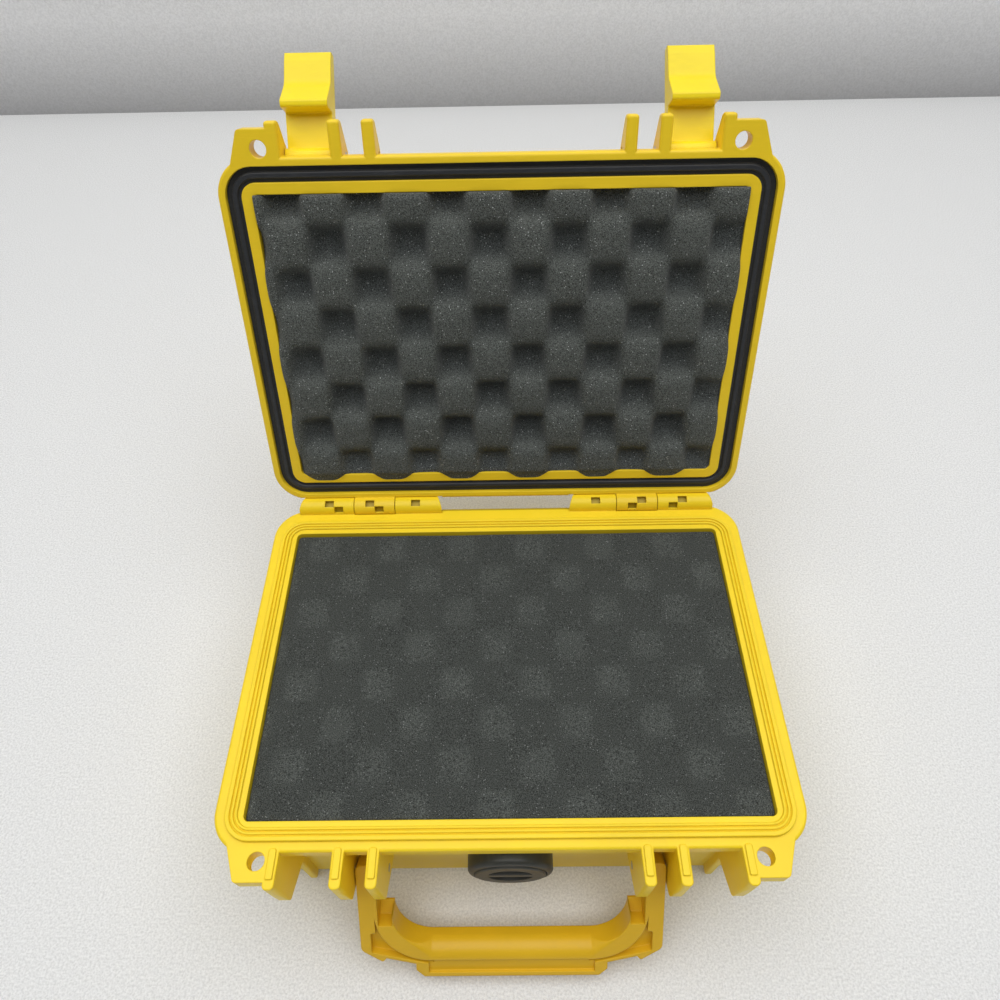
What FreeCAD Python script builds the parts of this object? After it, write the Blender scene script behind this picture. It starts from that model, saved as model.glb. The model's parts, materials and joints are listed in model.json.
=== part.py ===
import FreeCAD, Part
import math
import os
import re
import Sketcher
from FreeCAD import Placement, Rotation, Vector

# Small hard case with a hinged lid, two latches, a folding handle, a purge valve and foam.
# Every piece is drawn as in the closed case: +X to the right, -Y to the front, +Z up, millimetres,
# origin in the middle of the underside of the ring foot. The lid, latches and handle are then swung open.

SIZES = {
    # Rim, heights and the swings of the moving pieces (degrees)
    "rim_width": 207.0,
    "rim_depth": 143.0,
    "rim_corner": 14.0,
    "base_height": 66.0,
    "lid_height": 31.0,
    "closing_gap": 1.0,
    "lid_swing": 110.8,
    "latch_swing": 109.4,
    "handle_swing": 37.2,
    # Base tub
    "base_flange": 6.0,
    "flange_round": 1.2,
    "back_lip": 2.0,
    "wall_inset": 7.0,
    "wall": 3.8,
    "wall_draft": 0.3,
    "wall_round": 2.5,
    "floor_thickness": 3.5,
    "foot_height": 0.8,
    "foot_margin": 6.0,
    "foot_width": 9.0,
    "foot_corner": 10.0,
    "cavity_corner": 2.2,
    "seat_shift": 0.9,
    # Sealing beads and inner ledge on the base rim
    "bead_start": 4.25,
    "bead_width": 1.6,
    "thin_bead": 0.95,
    "bead_gap": 0.45,
    "bead_groove": 0.75,
    "bead_height": 1.6,
    "bead_round": 0.3,
    "ledge_height": 0.7,
    # Lid tub and its gasket groove
    "lid_flange": 6.0,
    "lid_wall_inset": 8.6,
    "lid_wall": 3.9,
    "lid_roof": 3.0,
    "lid_round": 5.0,
    "panel_length": 120.0,
    "panel_width": 76.0,
    "panel_corner": 6.0,
    "panel_depth": 0.8,
    "groove_inset": 2.9,
    "groove_width": 5.6,
    "groove_depth": 4.4,
    "seal_clearance": 0.3,
    "gasket_fit": 0.1,
    "gasket_round": 0.7,
    "ridge_start": 2.0,
    "ridge_width": 2.2,
    "ridge_height": 1.1,
    # Front ribs and padlock ears
    "rib_margin": 23.0,
    "latch_bay": 22.1,
    "arm_bay": 12.0,
    "rib_width": 4.4,
    "rib_tip_width": 4.0,
    "rib_tip_round": 1.6,
    "rib_reach": 11.5,
    "rib_drop": 25.0,
    "rib_root": 36.0,
    "rib_lean": 1.0,
    "rib_heel": 3.0,
    "rib_edge": 0.5,
    "lid_rib_edge": 1.1,
    "lid_rib_nose": 5.0,
    "lid_rib_rise": 17.0,
    "strip_width": 2.4,
    "strip_height": 0.7,
    "strip_start": 1.2,
    "strip_end": 8.4,
    "wall_ridge_width": 3.0,
    "wall_ridge_reach": 3.0,
    "ear_thickness": 6.0,
    "ear_reach": 9.2,
    "ear_margin": 6.5,
    "ear_slant": 4.5,
    "ear_round": 1.5,
    "ear_hole_radius": 3.0,
    "ear_hole_offset": 5.3,
    "ear_hole_reach": 2.7,
    # Pins and their fits
    "pin_radius": 1.5,
    "pin_fit": 0.05,
    "side_gap": 0.4,
    # Hinges, with the places of their windows in degrees
    "hinge_offset": 3.5,
    "knuckle_radius": 4.2,
    "hinge_margin": 44.1,
    "lid_knuckle": 18.2,
    "outer_knuckle": 22.0,
    "inner_knuckle": 18.5,
    "knuckle_gap": 0.3,
    "knuckle_flare": 2.6,
    "hinge_web": 5.0,
    "web_root": 3.0,
    "window_length": 4.0,
    "window_height": 3.0,
    "window_depth": 2.2,
    "window_step": 4.2,
    "window_low": 28.0,
    "window_high": 70.0,
    # Latches, measured from their pins
    "latch_pin_rise": 8.2,
    "latch_pin_reach": 1.0,
    "latch_eye": 2.9,
    "latch_eye_flat": 0.06,
    "latch_gap": 0.3,
    "latch_edge": 0.6,
    "latch_corner": 0.9,
    "latch_panel": 2.0,
    "latch_wall": 2.8,
    "latch_heel": 5.6,
    "latch_hook": 5.0,
    "latch_nose": 2.1,
    "latch_ramp": 7.4,
    "latch_tail": 36.6,
    "latch_tip": 10.6,
    "tail_back": 4.8,
    "tail_lip": 3.1,
    "tail_step": 1.3,
    # Handle, measured from its pins
    "handle_drop": 25.2,
    "handle_standoff": 6.9,
    "handle_thickness": 9.0,
    "handle_top": 4.6,
    "handle_shelf": 22.0,
    "cheek_top": 17.6,
    "cheek_depth": 3.0,
    "handle_bend": 14.0,
    "grip_top": 31.4,
    "grip_depth": 6.4,
    "grip_round": 5.6,
    "grip_fade": 0.65,
    "grip_end": 0.1,
    "grip_ease": 0.3,
    "handle_shoulder": 33.0,
    "shoulder_round": 3.0,
    "handle_bottom": 45.2,
    "handle_edge": 0.8,
    "corner_width": 7.8,
    "corner_drop": 38.3,
    "notch_width": 1.4,
    "notch_height": 1.7,
    "bottom_slope": 15.3,
    "toe_width": 3.0,
    "toe_height": 3.0,
    "lip_slope": 0.25,
    "lip_rim": 1.2,
    "flange_lip": 1.7,
    "flange_recess": 1.2,
    "arm_strip": 3.8,
    "pocket_top": 25.3,
    "corner_pocket": 3.0,
    # Purge valve
    "valve_drop": 24.0,
    "boss_radius": 17.0,
    "boss_height": 0.5,
    "valve_radius": 15.5,
    "valve_depth": 8.3,
    "valve_round": 1.9,
    "shank_radius": 6.0,
    "shank_reach": 1.0,
    "knob_radius": 13.0,
    "knob_seat": 4.5,
    "knob_proud": 0.6,
    "knob_round": 0.8,
    "knob_gap": 0.3,
    "recess_radius": 8.2,
    "recess_depth": 1.5,
    "recess_bar": 3.0,
    "stem_radius": 3.0,
    "seal_thickness": 1.0,
    "seal_width": 4.0,
    "nut_across": 18.0,
    "nut_thickness": 3.5,
    # Foam
    "foam_gap": 0.3,
    "foam_drop": 1.0,
    "foam_corner": 1.8,
    "foam_pad": 10.0,
    "crate_pitch": 30.0,
    "crate_height": 10.1,
    "crate_clearance": 0.4,
    "crate_foot": 24.0,
    "crate_peak": 14.0,
    "crate_start_x": 8.0,
    "crate_start_y": 15.0,
}

# Places worked out from the sizes
FRONT = "(-rim_depth / 2)"
BACK = "(rim_depth / 2)"
PARTING = "base_height"
LID_PLANE = "(base_height + closing_gap)"
LID_TOP = "(base_height + closing_gap + lid_height)"
FLOOR_TOP = "(foot_height + floor_thickness)"
CAVITY_INSET = "(wall_inset + wall)"
LID_CAVITY_INSET = "(lid_wall_inset + lid_wall)"
BEADS_END = "(bead_start + bead_width + 2 * (bead_gap + thin_bead))"
LAND_DROP = "(bead_height + seal_clearance - closing_gap)"
WALL_FRONT = "(wall_inset - rim_depth / 2)"
CAVITY_FRONT = "(wall_inset + wall - seat_shift - rim_depth / 2)"
HINGE_Y = "(rim_depth / 2 + hinge_offset)"
HINGE_Z = "(base_height + closing_gap / 2)"
LATCH_PIN_Y = "(latch_pin_reach - rim_depth / 2)"
LATCH_PIN_Z = "(base_height + closing_gap + latch_pin_rise)"
RIB_OUTER = "(rim_width / 2 - rib_margin)"
RIB_MIDDLE = "(rim_width / 2 - rib_margin - latch_bay)"
RIB_INNER = "(rim_width / 2 - rib_margin - latch_bay - arm_bay)"
EAR_ROOT = "(rim_width / 2 - ear_margin)"
HINGE_X = "(rim_width / 2 - hinge_margin)"
LATCH_X = "(rim_width / 2 - rib_margin - latch_bay / 2)"
ARM_X = "(rim_width / 2 - rib_margin - latch_bay - arm_bay / 2)"
HANDLE_Y = "(wall_inset - rim_depth / 2 - handle_standoff)"
HANDLE_Z = "(base_height - handle_drop)"
VALVE_Z = "(base_height - valve_drop)"
VALVE_BACK = "(wall_inset - rim_depth / 2 - boss_height - seal_thickness)"
FOAM_TOP = "(base_height - foam_drop)"
PAD_TOP = "(foot_height + floor_thickness + foam_pad)"
CRATE_PEAK = "(base_height - foam_drop + crate_clearance)"
CRATE_VALLEY = "(base_height - foam_drop + crate_clearance + crate_height)"
BORE = "(pin_radius + pin_fit)"

SIDES = {"left": -1, "right": 1}
TINY = 1e-6

doc = FreeCAD.newDocument("hard_case")
sheet = doc.addObject("Spreadsheet::Sheet", "Sizes")
for row, (alias, size) in enumerate(SIZES.items(), 1):
    sheet.set("A%d" % row, alias)
    sheet.set("B%d" % row, str(size))
    sheet.setAlias("B%d" % row, alias)
doc.recompute()


def linked(expression):
    """The expression with each size written as a reference to its cell in the sheet."""
    def reference(word):
        return "Sizes." + word[0] if word[0] in SIZES else word[0]
    return re.sub(r"[a-z_]+", reference, str(expression))


def value(expression):
    """The number that an expression of sizes gives."""
    return float(doc.Sizes.evalExpression(linked(expression)))


def bind(item, path, expression):
    item.setExpression(path, linked(expression))


def place(item, x="0", y="0", z="0"):
    """Put an item's own origin at a point."""
    bind(item, "Placement.Base.x", x)
    bind(item, "Placement.Base.y", y)
    bind(item, "Placement.Base.z", z)


def swing(item, degrees, y, z, x="0"):
    """Put an item's own origin at a point and turn it about X: what hangs down swings to the front."""
    item.Placement = Placement(Vector(), Rotation(Vector(-1, 0, 0), value(degrees)))
    bind(item, "Placement.Rotation.Angle", degrees)
    place(item, x, y, z)


def opened(y, z, part):
    """Where the open lid carries a point of the closed lid: its Y or Z, as an expression."""
    across = "(%s - %s)" % (y, HINGE_Y)
    up = "(%s - %s)" % (z, HINGE_Z)
    turn = "lid_swing * 1 deg"
    if part == "y":
        return "%s + %s * cos(%s) + %s * sin(%s)" % (HINGE_Y, across, turn, up, turn)
    return "%s - %s * sin(%s) + %s * cos(%s)" % (HINGE_Z, across, turn, up, turn)


def open_with_lid(item):
    """Swing an item that is drawn in the closed case open with the lid."""
    swing(item, "lid_swing", opened("0", "0", "y"), opened("0", "0", "z"))


def new_body(name):
    return doc.addObject("PartDesign::Body", name)


def new_sketch(body, name, role, level="0"):
    """A sketch on one of the body's origin planes, moved along the plane's normal."""
    plane = next(item for item in body.Origin.OriginFeatures if item.Role == role)
    sketch = body.newObject("Sketcher::SketchObject", name)
    sketch.AttachmentSupport = [(plane, "")]
    sketch.MapMode = "FlatFace"
    bind(sketch, "AttachmentOffset.Base.z", level)
    return sketch


def add_loop(sketch, corners):
    """A closed outline through corners (across, up) or (across, up, radius), rounded by tangent arcs."""
    points = [Vector(value(corner[0]), value(corner[1])) for corner in corners]
    radii = [value(corner[2]) if len(corner) > 2 else 0.0 for corner in corners]
    count = len(corners)
    starts = []
    ends = []
    middles = []
    for index, point in enumerate(points):
        behind = (points[index - 1] - point).normalize()
        ahead = (points[(index + 1) % count] - point).normalize()
        half = behind.getAngle(ahead) / 2
        trim = radii[index] / math.tan(half)
        inward = (behind + ahead) / (2 * math.cos(half)) if radii[index] else Vector()
        starts.append(point + behind * trim)
        ends.append(point + ahead * trim)
        middles.append(point + inward * (radii[index] / math.sin(half) - radii[index]))
    lines = []
    for index in range(count):
        line = Part.LineSegment(ends[index], starts[(index + 1) % count])
        lines.append(sketch.addGeometry(line))
    constraints = []
    bound = []

    def fix(kind, piece, *rest):
        bound.append((len(constraints), rest[-1]))
        constraints.append(Sketcher.Constraint(kind, piece, *rest[:-1], value(rest[-1])))

    for index, corner in enumerate(corners):
        before = lines[index - 1]
        after = lines[index]
        if radii[index] == 0.0:
            constraints.append(Sketcher.Constraint("Coincident", before, 2, after, 1))
            marked = after
        else:
            arc = sketch.addGeometry(Part.Arc(starts[index], middles[index], ends[index]))
            first = 1 if sketch.getPoint(arc, 1).distanceToPoint(starts[index]) < TINY else 2
            constraints.append(Sketcher.Constraint("Tangent", before, 2, arc, first))
            constraints.append(Sketcher.Constraint("Tangent", arc, 3 - first, after, 1))
            fix("Radius", arc, corner[2])
            marked = sketch.addGeometry(Part.Point(points[index]), True)
            constraints.append(Sketcher.Constraint("PointOnObject", marked, 1, before))
            constraints.append(Sketcher.Constraint("PointOnObject", marked, 1, after))
        fix("DistanceX", marked, 1, corner[0])
        fix("DistanceY", marked, 1, corner[1])
    first_constraint = sketch.ConstraintCount
    sketch.addConstraint(constraints)
    for index, expression in bound:
        bind(sketch, "Constraints[%d]" % (first_constraint + index), expression)


def add_circle(sketch, across, up, radius):
    centre = Vector(value(across), value(up))
    circle = sketch.addGeometry(Part.Circle(centre, Vector(0, 0, 1), value(radius)))
    first = sketch.ConstraintCount
    sketch.addConstraint([
        Sketcher.Constraint("DistanceX", circle, 3, value(across)),
        Sketcher.Constraint("DistanceY", circle, 3, value(up)),
        Sketcher.Constraint("Radius", circle, value(radius)),
    ])
    for index, expression in enumerate((across, up, radius)):
        bind(sketch, "Constraints[%d]" % (first + index), expression)


def rectangle(width, depth, corner=None, x="0", y="0"):
    """The corners of a rectangle about (x, y), with an optional corner radius."""
    signs = ((-1, -1), (1, -1), (1, 1), (-1, 1))
    corners = [("%s + %d * (%s) / 2" % (x, across, width), "%s + %d * (%s) / 2" % (y, up, depth))
               for across, up in signs]
    return corners if corner is None else [place_xy + (corner,) for place_xy in corners]


def rim_loop(inset, corner=None):
    """The rim's outline moved inwards."""
    radius = corner or "rim_corner - (%s)" % inset
    return rectangle("rim_width - 2 * (%s)" % inset, "rim_depth - 2 * (%s)" % inset, radius)


def lipped_rim():
    """The base rim's outline, which reaches past the lid's at the back."""
    back = BACK + " + back_lip"
    left = "-rim_width / 2"
    right = "rim_width / 2"
    places = ((left, FRONT), (right, FRONT), (right, back), (left, back))
    return [place_xy + ("rim_corner",) for place_xy in places]


def seat_loop(inset, corner=None):
    """The outline of the beads and the cavity: the rim's moved inwards and a little to the front."""
    radius = corner or "rim_corner - (%s)" % inset
    width = "rim_width - 2 * (%s)" % inset
    depth = "rim_depth - 2 * (%s)" % inset
    return rectangle(width, depth, radius, "0", "-seat_shift")


def mirrored(side, corners):
    """Corners drawn for the right side, put on either side of the middle plane."""
    return [("%d * (%s)" % (side, corner[0]),) + tuple(corner[1:]) for corner in corners]


def extrude(kind, sketch, length, symmetric=False, reverse=False):
    body = sketch.getParentGeoFeatureGroup()
    feature = body.newObject("PartDesign::" + kind, sketch.Name + "_" + kind.lower())
    feature.Profile = sketch
    feature.SideType = "Symmetric" if symmetric else "One side"
    feature.Reversed = reverse
    bind(feature, "Length", length)
    doc.recompute()
    return feature


def pad(sketch, length, symmetric=False, reverse=False):
    return extrude("Pad", sketch, length, symmetric, reverse)


def pocket(sketch, length, symmetric=False, reverse=False):
    return extrude("Pocket", sketch, length, symmetric, reverse)


def loft(lower, upper):
    """A straight-sided solid between two sketches of one body."""
    body = lower.getParentGeoFeatureGroup()
    feature = body.newObject("PartDesign::AdditiveLoft", lower.Name + "_loft")
    feature.Profile = lower
    feature.Sections = [upper]
    feature.Ruled = True
    doc.recompute()
    return feature


def revolve(sketch):
    """Turn a sketch once round its own vertical axis."""
    body = sketch.getParentGeoFeatureGroup()
    feature = body.newObject("PartDesign::Revolution", sketch.Name + "_turn")
    feature.Profile = sketch
    feature.ReferenceAxis = (sketch, ["V_Axis"])
    feature.Angle = 360.0
    doc.recompute()
    return feature


def round_edges(feature, radius, chosen):
    """Round the chosen edges of a body's last feature."""
    body = feature.getParentGeoFeatureGroup()
    names = ["Edge%d" % number for number, edge in enumerate(feature.Shape.Edges, 1) if chosen(edge)]
    rounding = body.newObject("PartDesign::Fillet", feature.Name + "_round")
    rounding.Base = (feature, names)
    bind(rounding, "Radius", radius)
    doc.recompute()
    return rounding


def at_height(*levels):
    """Chooses the edges that lie flat at one of the given heights."""
    heights = [value(level) for level in levels]

    def chosen(edge):
        return any(abs(edge.BoundBox.ZMin - z) < TINY and abs(edge.BoundBox.ZMax - z) < TINY for z in heights)
    return chosen


def across_middle(half_width):
    """Chooses the edges that lie in one of the two side faces of a symmetric pad along X."""
    reach = value(half_width)

    def chosen(edge):
        box = edge.BoundBox
        return box.XLength < TINY and abs(abs(box.XMin) - reach) < TINY
    return chosen


def cylinder(name, radius, length, x, y, z, along):
    """A cylinder whose first end is at a point and which runs along +X or -Y."""
    item = doc.addObject("Part::Cylinder", name)
    turn = Rotation(Vector(0, 1, 0), 90) if along == "X" else Rotation(Vector(1, 0, 0), 90)
    item.Placement = Placement(Vector(), turn)
    bind(item, "Radius", radius)
    bind(item, "Height", length)
    place(item, x, y, z)
    return item


def fuse(name, items):
    result = doc.addObject("Part::MultiFuse", name)
    result.Shapes = items
    result.Refine = True
    return result


def cut(name, base, tools):
    result = doc.addObject("Part::Cut", name)
    result.Base = base
    result.Tool = fuse(name + "_cuts", tools) if len(tools) > 1 else tools[0]
    result.Refine = True
    return result


def common(name, base, tool):
    result = doc.addObject("Part::Common", name)
    result.Base = base
    result.Tool = tool
    return result


def base_tub():
    """The base's flange, wall, ring foot, sealing beads and inner ledge, still without its cavity."""
    body = new_body("base_tub")
    flange = new_sketch(body, "base_rim", "XY_Plane", PARTING + " - base_flange")
    add_loop(flange, lipped_rim())
    solid = pad(flange, "base_flange")
    solid = round_edges(solid, "flange_round", at_height(PARTING, PARTING + " - base_flange"))

    top = new_sketch(body, "base_wall_top", "XY_Plane", PARTING + " - base_flange")
    add_loop(top, rim_loop("wall_inset"))
    bottom = new_sketch(body, "base_wall_bottom", "XY_Plane", "foot_height")
    add_loop(bottom, rim_loop("wall_inset + wall_draft"))
    solid = loft(top, bottom)
    solid = round_edges(solid, "wall_round", at_height("foot_height"))

    foot = new_sketch(body, "base_foot", "XY_Plane")
    foot_inset = "wall_inset + wall_draft + foot_margin"
    add_loop(foot, rim_loop(foot_inset, "foot_corner"))
    add_loop(foot, rim_loop(foot_inset + " + foot_width", "foot_corner / 2"))
    pad(foot, "foot_height + floor_thickness / 2")

    ledge = new_sketch(body, "base_ledge", "XY_Plane", PARTING)
    add_loop(ledge, seat_loop("bead_start"))
    add_loop(ledge, seat_loop(CAVITY_INSET, "cavity_corner"))
    pad(ledge, "ledge_height")
    bed = new_sketch(body, "base_bead_bed", "XY_Plane", PARTING)
    add_loop(bed, seat_loop("bead_start"))
    add_loop(bed, seat_loop(BEADS_END))
    pad(bed, "bead_height - bead_groove")
    beads = new_sketch(body, "base_beads", "XY_Plane", PARTING + " + bead_height - bead_groove")
    inset = "bead_start"
    for width in ("bead_width", "thin_bead", "thin_bead"):
        add_loop(beads, seat_loop(inset))
        add_loop(beads, seat_loop("%s + %s" % (inset, width)))
        inset = "%s + %s + bead_gap" % (inset, width)
    solid = pad(beads, "bead_groove")
    round_edges(solid, "bead_round", at_height(PARTING + " + bead_height"))
    return body


def base_hollow():
    """The cutter of the base's cavity."""
    body = new_body("base_hollow")
    cavity = new_sketch(body, "base_cavity", "XY_Plane", FLOOR_TOP)
    add_loop(cavity, seat_loop(CAVITY_INSET, "cavity_corner"))
    pad(cavity, PARTING + " - " + FLOOR_TOP)
    return body


def lid_tub():
    """The lid's flange, wall and roof, with a bare label panel."""
    body = new_body("lid_tub")
    flange = new_sketch(body, "lid_rim", "XY_Plane", LID_PLANE)
    add_loop(flange, rim_loop("0"))
    solid = pad(flange, "lid_flange")
    round_edges(solid, "flange_round", at_height(LID_PLANE, LID_PLANE + " + lid_flange"))

    wall = new_sketch(body, "lid_wall_outline", "XY_Plane", LID_PLANE + " + lid_flange")
    add_loop(wall, rim_loop("lid_wall_inset"))
    solid = pad(wall, "lid_height - lid_flange")
    round_edges(solid, "lid_round", at_height(LID_TOP))

    panel = new_sketch(body, "lid_panel", "XY_Plane", LID_TOP)
    add_loop(panel, rectangle("panel_length", "panel_width", "panel_corner"))
    pocket(panel, "panel_depth")
    return body


def lid_hollow():
    """The cutter of the lid's cavity, its recessed inner land and its gasket groove."""
    body = new_body("lid_hollow")
    land = new_sketch(body, "lid_land", "XY_Plane", LID_PLANE)
    add_loop(land, rim_loop("groove_inset"))
    pad(land, LAND_DROP)
    groove = new_sketch(body, "lid_groove", "XY_Plane", LID_PLANE)
    add_loop(groove, rim_loop("groove_inset"))
    add_loop(groove, rim_loop("groove_inset + groove_width"))
    pad(groove, "groove_depth")
    cavity = new_sketch(body, "lid_cavity", "XY_Plane", LID_PLANE)
    add_loop(cavity, rim_loop(LID_CAVITY_INSET, "cavity_corner"))
    pad(cavity, "lid_height - lid_roof")
    return body


def base_rib(name, x):
    """A front rib of the base: a tapered, round-tipped plate with a slanted underside and a strip on top."""
    body = new_body(name)
    plan = new_sketch(body, name + "_plan", "XY_Plane", PARTING + " - rib_root - rib_edge")
    root = WALL_FRONT + " + wall / 2"
    tip = FRONT + " - rib_reach"
    add_loop(plan, [
        ("-rib_width / 2", root),
        ("-rib_tip_width / 2", tip, "rib_tip_round"),
        ("rib_tip_width / 2", tip, "rib_tip_round"),
        ("rib_width / 2", root),
    ])
    solid = pad(plan, "rib_root + rib_edge")
    round_edges(solid, "rib_edge", at_height(PARTING))

    underside = new_sketch(body, name + "_underside", "YZ_Plane")
    add_loop(underside, [
        (tip + " - rib_lean / 2", PARTING + " + rib_lean"),
        (tip + " + rib_lean", PARTING + " - rib_drop", "rib_heel"),
        (root, PARTING + " - rib_root"),
        (root, PARTING + " - 2 * rib_root"),
        (tip + " - rib_reach", PARTING + " - 2 * rib_root"),
        (tip + " - rib_reach", PARTING + " + rib_lean"),
    ])
    pocket(underside, "2 * rib_width", symmetric=True)

    strip = new_sketch(body, name + "_strip", "XY_Plane", PARTING + " - strip_height")
    far = FRONT + " - strip_end"
    near = FRONT + " + strip_start"
    add_loop(strip, [
        ("-strip_width / 2", far, "strip_width / 6"),
        ("strip_width / 2", far, "strip_width / 6"),
        ("strip_width / 2", near, "strip_width / 3"),
        ("-strip_width / 2", near, "strip_width / 3"),
    ])
    pad(strip, "2 * strip_height")
    place(body, x)
    return body


def wall_ridge(name, x):
    """A low upright ridge on the front wall, from an outermost rib down to the floor."""
    body = new_body(name)
    outline = new_sketch(body, name + "_outline", "XY_Plane", "foot_height + wall_round")
    root = WALL_FRONT + " + wall / 2"
    face = WALL_FRONT + " - wall_ridge_reach"
    add_loop(outline, [
        ("-wall_ridge_width / 2", root),
        ("-wall_ridge_width / 2", face, "wall_ridge_width / 4"),
        ("wall_ridge_width / 2", face, "wall_ridge_width / 4"),
        ("wall_ridge_width / 2", root),
    ])
    pad(outline, PARTING + " - rib_root + 2 * wall_ridge_reach - foot_height - wall_round")
    place(body, x)
    return body


def lid_rib(name, x):
    """A front rib of the lid: a plate that rises from a blunt nose to the lid's wall."""
    body = new_body(name)
    plate = new_sketch(body, name + "_plate", "YZ_Plane")
    root = FRONT + " + lid_wall_inset + lid_wall / 2"
    tip = FRONT + " - rib_reach"
    add_loop(plate, [
        (root, LID_PLANE),
        (tip, LID_PLANE, "rib_lean"),
        (tip, LID_PLANE + " + lid_rib_nose", "rib_heel"),
        (FRONT, LID_PLANE + " + (lid_rib_nose + 2 * lid_rib_rise) / 3", "rib_heel"),
        (root, LID_PLANE + " + lid_rib_rise"),
    ])
    solid = pad(plate, "rib_width", symmetric=True)
    round_edges(solid, "lid_rib_edge", across_middle("rib_width / 2"))
    place(body, x)
    return body


def padlock_ear(name, side, level, upward):
    """A flat ear between the outermost rib and the rim's corner, with rounded outer corners."""
    body = new_body(name)
    outline = new_sketch(body, name + "_outline", "XY_Plane", level)
    root = FRONT + " + wall_inset / 2"
    tip = FRONT + " - ear_reach"
    add_loop(outline, mirrored(side, [
        (EAR_ROOT, root),
        (EAR_ROOT, FRONT + " + 2 * ear_round"),
        (EAR_ROOT + " - ear_slant", tip, "ear_round"),
        (RIB_OUTER, tip),
        (RIB_OUTER, root),
    ]))
    pad(outline, "ear_thickness", reverse=not upward)
    return body


def ear_hole(name, side, level):
    """The cutter of a padlock hole, long enough for one ear."""
    item = doc.addObject("Part::Cylinder", name)
    bind(item, "Radius", "ear_hole_radius")
    bind(item, "Height", "3 * ear_thickness")
    x = "%d * (%s + ear_hole_offset)" % (side, RIB_OUTER)
    place(item, x, FRONT + " - ear_hole_reach", level + " - 1.5 * ear_thickness")
    return item


def flared(start, length, flares):
    """A knuckle's low-X end and its length where its flared ends meet the flange's edge."""
    low = "%s - %d * knuckle_flare" % (start, flares[0])
    return low, "(%s + %d * knuckle_flare)" % (length, sum(flares))


def knuckle_plan(start, length, flares, reach):
    """A knuckle from above, out to a given line: flared ends slope from the flange to the barrel's back."""
    low, flared_length = flared(start, length, flares)
    high = "%s + %s" % (low, flared_length)
    root = BACK + " - web_root"
    share = "((%s + knuckle_radius - %s) / (hinge_offset + knuckle_radius))" % (HINGE_Y, reach)
    low_reach = "%s - %d * knuckle_flare * %s" % (start, flares[0], share)
    high_reach = "%s + %s + %d * knuckle_flare * %s" % (start, length, flares[1], share)
    return [(low, root), (low, BACK), (low_reach, reach), (high_reach, reach), (high, BACK), (high, root)]


def knuckle(name, start, length, upward, flares):
    """A hinge knuckle: a barrel on the hinge axis, cut to its plan, and the web that carries it."""
    low, flared_length = flared(start, length, flares)
    barrel = cylinder(name + "_round", "knuckle_radius", flared_length, low, HINGE_Y, HINGE_Z, "X")
    slope = new_body(name + "_slope")
    outline = new_sketch(slope, name + "_outline", "XY_Plane", HINGE_Z + " - knuckle_radius")
    add_loop(outline, knuckle_plan(start, length, flares, "(%s + knuckle_radius)" % HINGE_Y))
    pad(outline, "2 * knuckle_radius")
    web = new_body(name + "_web")
    plan = new_sketch(web, name + "_plan", "XY_Plane", LID_PLANE if upward else PARTING)
    add_loop(plan, knuckle_plan(start, length, flares, HINGE_Y))
    pad(plan, "hinge_web", reverse=not upward)
    return [common(name + "_barrel", barrel, slope), web]


def knuckle_clearance(name, start, length, flares=(0, 0)):
    """The cutter that keeps one half's flange clear of a knuckle of the other half."""
    low, flared_length = flared(start, length, flares)
    return cylinder(name, "knuckle_radius + knuckle_gap", flared_length + " + knuckle_gap",
                    low + " - knuckle_gap / 2", HINGE_Y, HINGE_Z, "X")


def knuckle_window(name, middle, degrees):
    """The cutter of a square core-out on a barrel, turned about the hinge axis from the front upwards."""
    item = doc.addObject("Part::Box", name)
    turn = value(degrees)
    item.Placement = Placement(Vector(), Rotation(Vector(-1, 0, 0), turn))
    bind(item, "Length", "window_length")
    bind(item, "Width", "2 * window_depth")
    bind(item, "Height", "window_height")
    bind(item, "Placement.Rotation.Angle", degrees)
    reach = "(knuckle_radius + window_depth)"
    half = "(window_height / 2)"
    angle = "(%s) * 1 deg" % degrees
    place(item, "%s - window_length / 2" % middle,
          "%s - %s * cos(%s) - %s * sin(%s)" % (HINGE_Y, reach, angle, half, angle),
          "%s + %s * sin(%s) - %s * cos(%s)" % (HINGE_Z, reach, angle, half, angle))
    return item


def knuckle_starts(side):
    """The low-X ends of one hinge's knuckles: the lid's, then the base's inner and outer ones."""
    centre = "(%d * %s)" % (side, HINGE_X)
    lid = centre + " - lid_knuckle / 2"
    if side < 0:
        inner = centre + " + lid_knuckle / 2 + knuckle_gap"
        outer = centre + " - lid_knuckle / 2 - knuckle_gap - outer_knuckle"
    else:
        inner = centre + " - lid_knuckle / 2 - knuckle_gap - inner_knuckle"
        outer = centre + " + lid_knuckle / 2 + knuckle_gap"
    return lid, inner, outer


def knuckle_flares(side):
    """Which ends of one hinge's inner and outer base knuckles are flared: those away from the lid's."""
    low_end = (1, 0)
    high_end = (0, 1)
    return (high_end, low_end) if side < 0 else (low_end, high_end)


def rib_places():
    """The front ribs' names and places: three on each side."""
    for side_name, side in SIDES.items():
        for rib, x in (("outer", RIB_OUTER), ("middle", RIB_MIDDLE), ("inner", RIB_INNER)):
            yield side_name + "_" + rib, "%d * %s" % (side, x)


def hinge_bore(name, side):
    """The cutter of one hinge's pin bore, through all its knuckles."""
    length = "(outer_knuckle + lid_knuckle + inner_knuckle + 2 * knuckle_gap + 2 * knuckle_flare)"
    low = knuckle_starts(side)[2 if side < 0 else 1]
    return cylinder(name, BORE, length, low + " - knuckle_flare", HINGE_Y, HINGE_Z, "X")


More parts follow.
